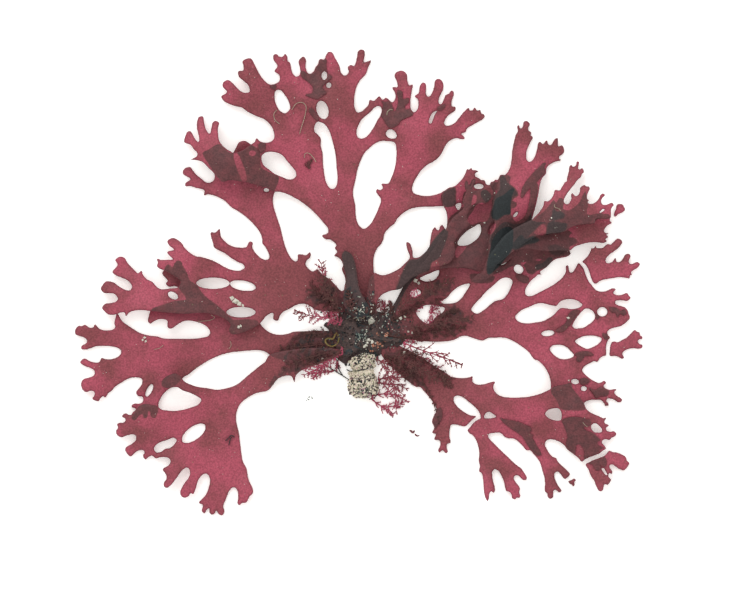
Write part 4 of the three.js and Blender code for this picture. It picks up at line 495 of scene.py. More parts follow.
# Lobes that lie out of sight under the upper right fronds and round the holdfast only show as a darker tint.
# Each outline holds for the number of blades that lie there; a later one counts over an earlier one.
TINTS = [
    (2.1, [(1.6, 2.2), (2.4, 3.0), (2.9, 4.0), (3.2, 5.0), (3.7, 6.0), (4.2, 6.8), (5.0, 6.95), (5.9, 8.0),
           (6.6, 8.9), (7.2, 9.5), (7.6, 10.4), (8.4, 11.1), (8.7, 11.7), (8.9, 12.6), (9.5, 12.7),
           (10.3, 12.8), (10.9, 12.75), (11.25, 12.3), (11.4, 12.6), (11.1, 13.3), (11.5, 13.5),
           (11.8, 13.5), (11.9, 13.9), (12.1, 14.1), (12.6, 14.05), (12.8, 13.9), (12.75, 13.2),
           (13.2, 12.9), (13.5, 12.3), (13.1, 12.1), (12.85, 11.5), (12.85, 10.8), (13.3, 10.1),
           (13.9, 10.4), (14.4, 11.0), (14.75, 10.3), (15.2, 10.6), (15.7, 11.0), (16.3, 11.7),
           (16.5, 11.95), (16.7, 11.7), (17.0, 12.1), (17.3, 11.9), (17.2, 11.0), (18.0, 11.1),
           (18.6, 11.5), (19.0, 12.2), (19.2, 12.6), (19.35, 12.0), (19.4, 11.4), (19.3, 10.8),
           (19.7, 10.6), (20.3, 10.75), (21.2, 10.7), (21.35, 10.5), (21.0, 10.35), (20.2, 10.3),
           (20.0, 10.0), (19.3, 9.9), (18.7, 9.85), (18.0, 9.7), (17.7, 9.4), (18.0, 9.2), (17.8, 8.8),
           (18.1, 8.6), (18.5, 8.5), (18.4, 8.2), (17.9, 8.0), (17.8, 7.7), (18.0, 7.35), (17.0, 7.1),
           (16.4, 6.9), (15.9, 6.2), (15.2, 5.95), (14.7, 5.6), (14.3, 5.75), (14.0, 6.3), (13.0, 6.3),
           (12.2, 5.9), (11.3, 5.6), (9.8, 6.0), (8.1, 6.2), (6.4, 6.0), (5.2, 5.6), (4.4, 5.0),
           (3.6, 4.2), (3.0, 3.2), (2.6, 2.4)]),
    (1.0, [(8.35, 8.0), (9.1, 8.05), (8.6, 7.3), (8.25, 7.0), (8.1, 7.3)]),
    (1.0, [(6.0, 5.9), (6.1, 6.5), (6.5, 6.85), (6.75, 6.5), (6.8, 6.0)]),
    (1.0, [(9.2, 10.4), (9.7, 11.1), (9.9, 11.5), (10.5, 11.7), (10.9, 11.2), (11.1, 10.8), (11.0, 10.4),
           (10.7, 10.1), (10.3, 10.1), (9.9, 9.95), (9.5, 9.85), (9.2, 10.1)]),
    (1.0, [(9.7, 12.4), (9.95, 12.3), (9.85, 11.7), (9.5, 11.5), (9.55, 11.9)]),
    (1.0, [(10.95, 9.1), (11.3, 9.9), (11.6, 9.9), (11.4, 9.2), (11.15, 9.0)]),
    (1.0, [(11.5, 13.0), (11.7, 12.6), (11.3, 12.2), (10.8, 11.7), (10.6, 11.6), (11.1, 10.9),
           (11.25, 11.3), (11.3, 12.0), (11.5, 12.4)]),
    (1.0, [(14.3, 7.2), (14.9, 7.4), (15.6, 7.0), (15.3, 6.75), (14.6, 6.9), (13.9, 6.4), (13.7, 6.6)]),
    (1.0, [(7.1, 11.4), (7.6, 11.45), (8.6, 11.65), (8.9, 11.5), (8.5, 11.15), (8.0, 10.9), (7.55, 10.3),
           (7.4, 9.8)]),
    (2.3, [(8.95, 13.1), (9.0, 13.5), (9.15, 13.6), (9.3, 13.2), (9.6, 13.7), (9.85, 13.7), (9.8, 13.3),
           (9.3, 13.0), (9.05, 12.85)]),
    (2.6, [(7.05, 12.5), (7.6, 12.9), (8.1, 13.0), (8.15, 12.2), (8.1, 11.5), (7.2, 11.4), (7.0, 11.9)]),
    (3.0, [(2.0, 1.6), (2.6, 3.0), (3.2, 4.6), (4.2, 6.8), (5.0, 6.95), (5.9, 8.0), (6.6, 8.9), (7.2, 9.45),
           (7.5, 9.2), (7.35, 8.5), (7.0, 7.6), (6.6, 6.9), (6.1, 6.6), (5.9, 6.0), (5.0, 5.6), (4.2, 4.7),
           (3.4, 3.2), (2.8, 2.0)]),
    (3.2, [(10.3, 12.5), (10.5, 12.85), (10.9, 12.7), (11.2, 12.25), (10.8, 11.75), (10.5, 12.0)]),
    (3.0, [(12.0, 13.9), (12.3, 14.0), (12.6, 13.4), (13.1, 13.0), (13.4, 12.4), (13.0, 12.2),
           (12.85, 11.5), (12.8, 10.8), (12.3, 10.65), (11.9, 10.3), (11.5, 10.2), (11.2, 10.6),
           (11.35, 11.5), (11.5, 12.3), (11.9, 12.8)]),
    (4.2, [(12.9, 12.9), (12.3, 12.4), (11.6, 12.0), (11.4, 11.4), (11.25, 10.8), (11.35, 10.4),
           (11.7, 10.3), (12.0, 10.5), (12.4, 10.7), (12.8, 10.75), (12.8, 11.5), (12.95, 12.3),
           (13.15, 12.9)]),
    (2.8, [(11.0, 6.1), (11.1, 7.2), (11.2, 8.0), (11.0, 8.4), (11.6, 9.5), (12.4, 10.1), (13.2, 9.9),
           (14.2, 10.2), (14.6, 10.9), (14.7, 10.2), (15.8, 10.0), (15.2, 9.6), (14.7, 9.2), (14.2, 8.7),
           (13.2, 8.3), (12.9, 7.5), (12.4, 6.9), (11.8, 6.2)]),
    (4.3, [(11.3, 8.55), (12.1, 9.5), (12.9, 9.6), (13.0, 8.55), (12.9, 7.8), (12.3, 6.85), (11.55, 6.0),
           (10.95, 5.6), (10.8, 6.4), (11.1, 7.7)]),
    (3.5, [(12.9, 7.8), (13.1, 8.4), (13.75, 9.0), (14.1, 8.65), (14.7, 8.85), (15.3, 8.55), (15.0, 8.3),
           (14.1, 8.1), (13.35, 7.7)]),
    (2.2, [(13.0, 7.5), (14.2, 7.95), (15.2, 8.2), (15.6, 8.7), (16.2, 8.75), (18.1, 8.6), (17.9, 8.0),
           (17.0, 7.1), (15.0, 6.9), (13.6, 6.6), (12.5, 6.8)]),
    (1.2, [(14.8, 9.1), (15.6, 9.9), (15.9, 9.2), (15.5, 8.9)]),
    (3.3, [(16.3, 10.5), (16.5, 11.2), (16.7, 10.95), (17.1, 10.95), (17.4, 10.7), (17.3, 10.4),
           (16.9, 10.3), (16.5, 10.2), (16.2, 10.3)]),
    (3.3, [(16.0, 9.9), (16.3, 10.1), (17.0, 10.0), (17.6, 9.9), (17.5, 9.4), (17.0, 9.15), (16.3, 9.1),
           (15.85, 8.95), (15.9, 9.4)]),
    (2.6, [(16.0, 7.9), (16.6, 8.2), (17.3, 7.9), (17.8, 7.7), (17.2, 7.3), (16.4, 7.3)]),
    (2.9, [(15.6, 6.6), (16.2, 7.1), (16.5, 6.9), (16.0, 6.3), (15.6, 6.1), (15.1, 6.0), (15.0, 6.4)]),
    (2.4, [(9.4, 5.6), (10.6, 5.6), (11.5, 5.4), (11.3, 5.0), (10.2, 4.85), (9.6, 5.0)]),
    (1.0, [(-10.75, 15.9), (-10.45, 15.9), (-9.65, 13.6), (-9.95, 13.5)]),
]

# Felt and painted shade. Round the holdfast the fine seaweed is too thick to tell its threads apart. It shows
# as a darker, mottled tint with a soft rim, under the threads that are drawn: partly the felt's own colour
# and partly painted shade where the tufts lie over the blades.
FELT_AND_SHADE = [
    (1.9, [(-3.4, -1.8), (-4.4, -2.3), (-5.3, -2.9), (-6.4, -3.2), (-7.3, -3.9), (-7.6, -4.2), (-7.4, -3.0),
           (-6.9, -1.9), (-6.6, -0.6), (-6.2, 0.2), (-5.4, 0.8), (-4.2, 1.2), (-3.0, 1.1), (-1.4, 1.5),
           (-1.4, 2.6), (-2.2, 2.7), (-4.3, 2.9), (-4.6, 3.6), (-4.0, 4.2), (-3.2, 4.5), (-2.9, 5.6),
           (-2.3, 5.0), (-1.6, 4.2), (-0.9, 4.6), (0.2, 3.4), (1.2, 4.2), (1.6, 2.6), (2.8, 2.4),
           (4.2, 2.2), (4.6, 1.2), (4.9, 0.6), (3.2, -0.2), (1.7, -1.0), (-0.4, -0.6), (-1.6, -0.6)]),
    (2.5, [(-3.2, -1.7), (-4.6, -1.9), (-5.6, -1.0), (-5.3, 0.2), (-4.3, 0.9), (-3.0, 1.1), (-1.4, 1.5),
           (-1.3, 4.4), (-0.6, 4.0), (0.0, 2.9), (0.9, 3.4), (1.6, 2.2), (3.2, 2.2), (3.6, 1.0),
           (3.2, 0.0), (1.7, -1.0), (-0.4, -0.6), (-1.6, -0.6)]),
    (1.6, [(5.8, 0.0), (6.5, 1.6), (7.4, 2.9), (8.2, 3.0), (8.9, 2.4), (9.6, 2.0), (9.9, 1.2), (9.0, 0.9),
           (8.4, 0.4), (7.2, 0.0)]),
    (1.6, [(1.6, -0.9), (2.4, -1.9), (3.4, -2.8), (4.0, -3.6), (4.7, -3.9), (5.4, -4.2), (6.2, -5.2),
           (6.4, -6.0), (5.6, -4.0), (5.1, -2.8), (5.6, -2.3), (6.6, -2.7), (7.4, -3.4), (7.6, -3.0),
           (6.4, -1.9), (5.4, -1.1), (4.2, -0.9), (2.8, -0.4)]),
    (1.7, [(4.4, 3.2), (5.2, 3.6), (6.2, 4.9), (7.6, 5.2), (8.2, 4.9), (7.4, 3.9), (6.4, 3.7), (5.2, 3.0)]),
]
FELT_AND_SHADE_RIM = 0.7  # mm, width of the soft rim of the felt and its painted shade
STRAP_DARKER = 1.1  # the strap is darker than a blade, and counts for this many more
# Fleece is fine noise that frays the rim of the felt and its painted shade, and wander a slow wave that
# roughens the border of the age.
fleece, _ = softened(np.random.default_rng(9).normal(0, 1, layers.shape), np.ones(layers.shape, bool), 1, 2)
fleece = fleece / fleece.std()
wander = np.sin(1.9 * across + np.sin(1.3 * up)) * np.sin(2.3 * up + np.sin(1.7 * across))
for blades_there, outline in TINTS:
    depth = inside_outline(outline)
    share = covered(depth)
    layers = layers * (1 - share) + blades_there * share
# The felt tint: partly the dense threads' own colour, partly painted shade under the tufts.
for blades_there, outline in FELT_AND_SHADE:
    depth = inside_outline(outline)
    share = np.clip(0.3 + depth / FELT_AND_SHADE_RIM + 0.18 * fleece, 0, 1)
    layers = np.maximum(layers, layers * (1 - share) + (blades_there + 0.35 * fleece) * share)
layers = layers + STRAP_DARKER * covered(blades["stem_strap"]["depth"])
# The bases are the oldest and dullest: 1 within about 7 mm of the holdfast, and 0 from about 19 mm on.
age = np.clip(1.55 - np.hypot(across, up) / 12 + 0.12 * wander, 0, 1)

RIPPLE = 0.018  # mm, height of one wave
HIGHEST = 3.6  # mm off the paper, where a blade lies at its solid's top
LOWEST_LOBE = 0.25  # mm, thickness of the lobes that lie lowest


def ripple(xy, depth, phase):
    """Small waves of a drying blade: three crossed sines, strongest near the rim, in mm."""
    x, y = xy.T
    wave = np.sin(2.1 * x + 1.3 * y + phase) + np.sin(1.1 * x - 2.4 * y + 2 * phase)
    wave += np.sin(3.3 * x - 1.7 * y)
    return RIPPLE * wave * np.clip(1.3 - depth, 0.4, 1.3)


def seat(top):
    """Middle height of a blade from its solid's top: on the solid's foot where that lies on the paper, and
    up to its top where it is highest, so that the plant keeps its whole height."""
    return top - SOLID + BLADE / 2 + (SOLID - BLADE) * np.clip((top - SOLID) / HIGHEST, 0, 1)


def half_share(deep):
    """Half a blade's thickness, as a share of its whole one. It grows inwards from the rim by a quarter
    circle, from a fifth to a half."""
    return 0.2 + 0.3 * np.sqrt(1 - (1 - np.clip(deep / ROUNDED, 0, 1)) ** 2)


def skin(name, depth, middle, thickness):
    """A blade: the cut-out grid twice, above and below the middle height, drawn together near the rim by a
    quarter circle, with a wall of triangles all round the rim."""
    xy, faces, edge = cut_out(depth)
    deep = np.maximum(at(depth, xy), 0)
    half = thickness * half_share(deep)
    count = len(xy)
    above = np.column_stack([xy, middle(xy, deep) + half])
    below = np.column_stack([xy, middle(xy, deep) - half])
    a, b = edge.T
    walls = [np.stack([a, a + count, b + count], 1), np.stack([a, b + count, b], 1)]
    faces = np.concatenate([faces, faces[:, ::-1] + count, *walls])
    values = {"layers": np.tile(at(layers, xy), 2), "rim": np.tile(deep, 2), "age": np.tile(at(age, xy), 2)}
    return mesh_piece(name, np.concatenate([above, below]), faces, red_blade, values)


for number, (node, blade) in enumerate(blades.items()):
    lowest = 1000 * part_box(node)[0].z

    def middle(xy, deep, blade=blade, phase=number, lowest=lowest):
        height = seat(at(blade["top"], xy)) + ripple(xy, deep, phase)
        return np.maximum(height, lowest + BLADE / 2)

    blade["middle"] = middle
    slot = "dark_strap" if node == "stem_strap" else "red_frond"
    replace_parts(skin(node + "_blade", blade["depth"], middle, BLADE), node)

for node, depth in lappets.items():
    carrier = blades[node]

    def middle(xy, deep, carrier=carrier):
        own = np.maximum(at(carrier["depth"], xy), 0)
        return carrier["middle"](xy, own) + BLADE * half_share(own) + CLING + LAPPET / 2

    skin(node + "_lappets", depth, middle, LAPPET)

# Three small lobes that lie lowest of all. They close two gaps between the upper right fronds and one beside
# the strap, where the photograph shows blade and no paper.
LOWEST = [
    [(11.2, 6.2), (12.2, 6.5), (13.4, 7.3), (13.7, 8.2), (12.6, 8.0), (11.8, 7.5), (11.2, 7.0)],
    [(10.7, 8.8), (11.2, 9.0), (11.8, 10.2), (11.5, 10.6), (11.0, 10.4), (10.8, 9.5)],
    [(-1.8, 2.3), (-1.9, 3.2), (-1.7, 4.0), (-1.2, 4.3), (-0.9, 3.3), (-0.8, 2.3)],
]
LOWEST_HEIGHT = 0.2  # mm, their middle height
depth = np.max([inside_outline(outline) for outline in LOWEST], 0)
skin("lowest_lobes", depth, lambda xy, deep: LOWEST_HEIGHT + ripple(xy, deep, 3.0), LOWEST_LOBE)

# The tufts. A finer red seaweed grows on the bases of the fronds in small feathers: a main thread with side
# threads to both sides, which branch once more. Magenta on the white paper, dark where they lie on blades.
THREAD = 0.085  # mm, radius of a main thread
ON_SHEET = 0.2  # mm, how far above the foot of its solid a tuft's threads run
TUFTS = {
    "tuft_upper_left": ([(-1.8, 2.2), (-2.5, 3.8), (-3.1, 5.2), (-3.3, 6.6)], 1.35),
    "tuft_left": ([(-1.5, 1.4), (-2.8, 1.9), (-4.2, 2.1), (-5.6, 2.4)], 1.1),
    "tuft_lower_left": ([(-1.4, -0.6), (-2.4, -1.5), (-3.4, -2.3), (-4.8, -3.0)], 1.2),
    "tuft_lower": ([(1.9, -1.6), (2.4, -3.0), (3.0, -4.6), (3.1, -6.2)], 1.3),
    "tuft_lower_right": ([(2.9, -1.2), (4.2, -2.0), (5.4, -2.6), (6.6, -3.6)], 1.2),
    "tuft_right_lower": ([(3.6, -0.2), (5.4, -0.9), (7.2, -1.5), (8.8, -2.2)], 1.2),
    "tuft_right": ([(4.2, 1.0), (5.8, 1.3), (7.6, 1.6), (9.6, 1.9)], 1.2),
    "tuft_upper_right": ([(3.2, 2.6), (4.6, 3.6), (6.2, 4.4), (7.9, 5.1)], 1.2),
}
tuft_red = blade_material("tuft_red", (176, 76, 100), (128, 62, 68), (90, 58, 54), (74, 56, 52), 0.65)


def threads(feet, headings, lengths, radii, bends, height, steps=6):
    """Tapering four-sided threads, all at once. Each runs from its foot along its heading, turned a little
    further at each step; rings of points lie round it, across it and upwards, smaller towards the tip."""
    sides = 4
    t = np.linspace(0, 1, steps)
    turn = headings[:, None] + bends[:, None] * t
    step = lengths[:, None] / (steps - 1)
    x = feet[:, :1] + np.cumsum(step * np.cos(turn), 1) - step * np.cos(turn[:, :1])
    y = feet[:, 1:2] + np.cumsum(step * np.sin(turn), 1) - step * np.sin(turn[:, :1])
    line = np.stack([x, y], -1)
    z = height(line.reshape(-1, 2)).reshape(x.shape)
    radius = radii[:, None] * (1 - 0.6 * t)
    ring = 2 * np.pi * (np.arange(sides) + 0.5) / sides
    out = radius[..., None] * np.cos(ring)
    points = np.stack(
        [
            x[..., None] - np.sin(turn)[..., None] * out,
            y[..., None] + np.cos(turn)[..., None] * out,
            np.maximum(z[..., None] + radius[..., None] * np.sin(ring), 0.01),
        ],
        -1,
    )
    n = len(feet)
    first = (np.arange(n) * steps * sides)[:, None, None] + (np.arange(steps - 1) * sides)[None, :, None]
    a = first + np.arange(sides)
    b = first + (np.arange(sides) + 1) % sides
    faces = np.stack([a, b, b + sides, a + sides], -1).reshape(-1, 4)
    start = (np.arange(n) * steps * sides)[:, None] + np.arange(sides)
    end = start + (steps - 1) * sides
    faces = np.concatenate([faces, start[:, ::-1], end])
    return points.reshape(-1, 3), faces, line


def feather(route, longest, height, seeded, shoots, twigs, thick):
    """A feather along a route: a main thread in short lengths, side threads to both sides at uneven angles,
    longest a little past the middle, and on each of them small twigs to both sides at the given steps."""
    thread = THREAD * thick
    stem = smooth_rim(np.array(route + route[::-1]), 12)[: 12 * (len(route) - 1) + 1]
    leg = np.concatenate([[0], np.cumsum(np.linalg.norm(np.diff(stem, axis=0), axis=1))])
    where = np.linspace(0.02, 0.98, shoots) * leg[-1]
    feet = np.column_stack([np.interp(where, leg, stem[:, k]) for k in (0, 1)])
    ahead = np.gradient(feet, axis=0)
    heading = np.arctan2(ahead[:, 1], ahead[:, 0])
    share = where / leg[-1]
    grown = longest * (0.35 + 0.7 * np.sin(np.pi * np.minimum(1, share * 0.85 + 0.15)))
    leap = np.diff(feet, axis=0)
    parts = [
        threads(feet[:-1], np.arctan2(leap[:, 1], leap[:, 0]), np.linalg.norm(leap, axis=1) * 1.12,
                thread * (1.3 - 0.6 * share[:-1]), np.zeros(shoots - 1), height, 3)
    ]
    for hand in (1, -1):
        lean = hand * seeded.uniform(0.5, 1.3, shoots)
        side = threads(
            feet, heading + lean, grown * seeded.uniform(0.45, 1.05, shoots), np.full(shoots, thread * 0.75),
            -hand * seeded.uniform(-0.5, 1.1, shoots), height,
        )
        parts.append(side)
        for step in twigs:
            for twig_hand in (1, -1):
                line = side[2]
                way = line[:, step + 1] - line[:, step]
                way = np.arctan2(way[:, 1], way[:, 0]) + twig_hand * seeded.uniform(0.5, 1.2, shoots)
                length = grown * seeded.uniform(0.12, 0.42, shoots) * (1.1 - step / 7)
                parts.append(
                    threads(line[:, step], way, length, np.full(shoots, thread * 0.6),
                            -twig_hand * seeded.uniform(-0.6, 1.0, shoots), height, 4)
                )
    points = np.concatenate([part[0] for part in parts])
    starts = np.cumsum([0] + [len(part[0]) for part in parts[:-1]])
    return points, np.concatenate([part[1] + start for part, start in zip(parts, starts)])


def thread_values(points):
    """Threads count one blade more than what lies under them, so they darken with it."""
    under = at(layers, points[:, :2])
    none = np.zeros(len(points))
    return {"layers": np.minimum(0.9 + under * 0.8, 2.4), "rim": none + 1.0, "age": none}


DENSE = {"twigs": (1, 2, 3, 4), "thick": 1.0}
OPEN = {"twigs": (2, 4), "thick": 1.25}
OPEN_TUFTS = {"tuft_lower", "tuft_lower_left", "tuft_right_lower"}
for number, (node, (route, longest)) in enumerate(TUFTS.items()):
    sheet, triangles = upper_side(node)
    known = inside_solid(sheet, triangles)
    top = drape(sheet, triangles, 8)
    far, _ = softened(top, known > -0.2, 6, 4)
    top = np.where(known > 0, top, far)

    def height(xy, top=top):
        return at(top, xy) - SOLID + ON_SHEET

    shoots, way = (10, OPEN) if node in OPEN_TUFTS else (14, DENSE)
    points, faces = feather(route, longest, height, np.random.default_rng(number), shoots, **way)
    piece = mesh_piece(node + "_threads", points, faces, tuft_red, thread_values(points))
    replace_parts(piece, node)

# The holdfast: a crust of hardened tissue that once gripped the rock, black, crumbled and pitted. Its lobes
# run out between the necks of the fronds, and it ends in a low rim on the paper.
surface = np.zeros((ROWS, COLUMNS))
for blade in blades.values():
    surface = np.maximum(surface, np.where(blade["depth"] > -0.1, seat(blade["top"]) + BLADE / 2 + 0.04, 0))
for node in ("holdfast", "lime_knob_upper", "lime_knob_lower"):
    sheet, triangles = upper_side(node)
    known = inside_solid(sheet, triangles)
    surface = np.maximum(surface, np.where(known > 0, drape(sheet, triangles, 1), 0))
over_all, _ = softened(surface, np.ones(surface.shape, bool), 2, 2)


def crust(node, foot, pits, pit_depth, rough, seed, rows, around):
    """A crust on its solid's outline: rows run from the top out to the outline on a flattened dome and then
    straight down to the paper; slow and quick sines make lumps, and each pit is a small bell pressed in."""
    wall = 8  # rows in the straight wall
    sheet, triangles = upper_side(node)
    rim = smooth_rim(sheet[rims_of(triangles)[0]][:, :2])
    top = 1000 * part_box(node)[1].z - 0.04
    centre = (rim.min(0) + rim.max(0)) / 2
    away = rim - centre
    angle = np.arctan2(away[:, 1], away[:, 0])
    order = np.argsort(angle)
    turn = np.linspace(-np.pi, np.pi, around, endpoint=False)
    far = np.interp(turn, angle[order], np.linalg.norm(away, axis=1)[order], period=2 * np.pi)
    fall = np.linspace(0.01, np.pi / 2, rows - wall)
    out = np.concatenate([np.sin(fall), np.ones(wall)])[:, None] * far
    x = centre[0] + out * np.cos(turn)
    y = centre[1] + out * np.sin(turn)
    z = np.concatenate([foot + (top - foot) * np.cos(fall), foot * np.linspace(0.9, 0, wall)])
    z = np.repeat(z[:, None], around, 1)
    seeded = np.random.default_rng(seed)
    wave = np.zeros(x.shape)
    for size, many, quick in ((0.5, 8, 2.5), (0.35, 14, 6.0), (0.25, 20, 14.0)):
        aim = seeded.normal(size=(many, 3)) * quick
        shift = seeded.uniform(0, 6.28, many)
        wave += size * np.sin(np.stack([x, y, z], -1) @ aim.T + shift).sum(-1) / np.sqrt(many)
    place = seeded.uniform(-1, 1, (pits, 3)) * [np.ptp(rim[:, 0]) / 2, np.ptp(rim[:, 1]) / 2, 0]
    width = seeded.uniform(0.035, 0.085, pits)
    off_x, off_y = (x - centre[0])[..., None], (y - centre[1])[..., None]
    apart = (off_x - place[:, 0]) ** 2 + (off_y - place[:, 1]) ** 2
    pit = np.minimum(np.exp(-apart / width**2).sum(-1), 1)
    press = rough * (wave - 1) - pit_depth * pit
    z = np.clip(z + np.minimum(press, 0.02) * np.clip(z / foot, 0, 1), 0, None)
    inward = 1 + rough * 0.6 * np.minimum(wave - 0.6, 0) * (out > 0.9 * far) / far
    x = centre[0] + (x - centre[0]) * inward
    y = centre[1] + (y - centre[1]) * inward
    points = np.stack([x, y, z], -1).reshape(-1, 3)
    row, column = np.meshgrid(np.arange(rows - 1), np.arange(around), indexing="ij")
    a = row * around + column
    b = row * around + (column + 1) % around
    faces = np.stack([a, a + around, b + around, b], -1).reshape(-1, 4)
    ring = np.arange(around)
    last = (rows - 1) * around
    head, heel = len(points), len(points) + 1
    points = np.concatenate([points, [points[:around].mean(0), [*centre, 0]]])
    cap = np.stack([np.full(around, head), ring, (ring + 1) % around], 1)
    base = np.stack([np.full(around, heel), last + (ring + 1) % around, last + ring], 1)
    faces = np.concatenate([faces[:, [0, 1, 2]], faces[:, [0, 2, 3]], cap, base])
    return points, faces, {"pit": np.append(pit.ravel(), [0, 0])}


def crust_colours():
    """Node group that colours crusted matter: two colours in patches, two more in spots, and painted shade in
    pits.
    """
    tree, given = colour_group("crusted", ("Scale", "Pit"), ("Pale", "Dark", "Tint", "Moss"))
    patch = noise(tree, given["Position"], given["Scale"], 5.0)
    spot = noise(tree, given["Position"], reckoned(tree, "MULTIPLY", given["Scale"], 2.3), 3.0)
    green = noise(tree, given["Position"], reckoned(tree, "MULTIPLY", given["Scale"], 0.7), 4.0)
    colour = mixed(tree, between(tree, patch, 0.25, 0.4), given["Dark"], given["Pale"])
    colour = mixed(tree, between(tree, spot, 0.56, 0.64), colour, given["Tint"])
    colour = mixed(tree, between(tree, green, 0.54, 0.64, 0.0, 0.7), colour, given["Moss"])
    # Painted shade: the pits take the dark colour.
    colour = mixed(tree, between(tree, given["Pit"], 0.3, 1.0, 0.0, 0.8), colour, given["Dark"])
    add(tree, "NodeGroupOutput", {}, {"Colour": colour, "Relief": patch})
    return tree


crusted = crust_colours()


def crust_material(name, pale, dark, tint, moss, scale, roughness, depth):
    """Crusted matter: the shared colouring with this piece's own four colours, as seen on screen, and a
    rough surface that is so deep, in m."""
    material, tree, here = new_material(name)
    given = {"Position": here, "Scale": scale, "Pit": read_value(tree, "pit")}
    for label, colour in (("Pale", pale), ("Dark", dark), ("Tint", tint), ("Moss", moss)):
        given[label] = shade(*colour)
    crusts = add(tree, "ShaderNodeGroup", {"node_tree": crusted}, given).outputs
    bump = add(tree, "ShaderNodeBump", {}, {"Height": crusts["Relief"], "Strength": 0.8, "Distance": depth})
    look = {"Base Color": crusts["Colour"], "Roughness": roughness, "Specular IOR Level": 0.2}
    add_surface(tree, {**look, "Normal": bump.outputs[0]})
    return material


holdfast_crust = crust_material(
    "holdfast_crust", (84, 70, 68), (28, 38, 42), (112, 92, 86), (44, 66, 70), 2.6, 0.85, 0.0001
)
points, faces, values = crust(
    "holdfast", foot=0.42, pits=260, pit_depth=0.16, rough=0.09, seed=11, rows=60, around=420
)
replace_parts(mesh_piece("holdfast_lobed", points, faces, holdfast_crust, values), "holdfast")

# The skin of the holdfast. Where the necks of the fronds grow out of it, a thin dark layer runs from the
# holdfast up onto them.
round_holdfast = inside_solid(*upper_side("holdfast"))
NECKS = [(-2.6, -1.4), (-2.7, 0.9), (-3.2, 1.3), (-2.0, 2.0), (-1.6, 2.7), (-0.4, 2.6), (0.6, 2.3),
         (1.6, 2.6), (2.2, 2.6), (2.6, 1.2), (3.4, 0.7), (4.2, 0.2), (4.2, -0.5), (2.8, -0.9),
         (1.9, -1.6), (1.5, -1.25), (1.0, -1.1), (0.4, -1.0), (-0.2, -1.25), (-0.8, -1.7), (-1.3, -2.1),
         (-2.0, -1.8)]
COLLAR = 0.34  # mm, how far the skin reaches on both sides of the holdfast's outline
collar = np.minimum(COLLAR + 0.07 * fleece - abs(round_holdfast), inside_outline(NECKS))
layers = np.maximum(layers, 2.9 * (collar > -0.1))
skin("holdfast_skin", collar, lambda xy, deep: at(over_all, xy) + 0.05, 0.1)

# The knob of coralline lime below the holdfast: two chalky lumps, cream to grey green, full of pits with
# painted shade in them.
lime = crust_material(
    "coralline_lime", (238, 228, 204), (58, 52, 46), (240, 216, 214), (164, 168, 134), 4.6, 0.9, 0.00012
)
for node, seed, pits in (("lime_knob_upper", 3, 120), ("lime_knob_lower", 5, 330)):
    points, faces, values = crust(
        node, foot=0.45, pits=pits, pit_depth=0.24, rough=0.13, seed=seed, rows=100, around=300
    )
    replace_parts(mesh_piece(node + "_pitted", points, faces, lime, values), node)

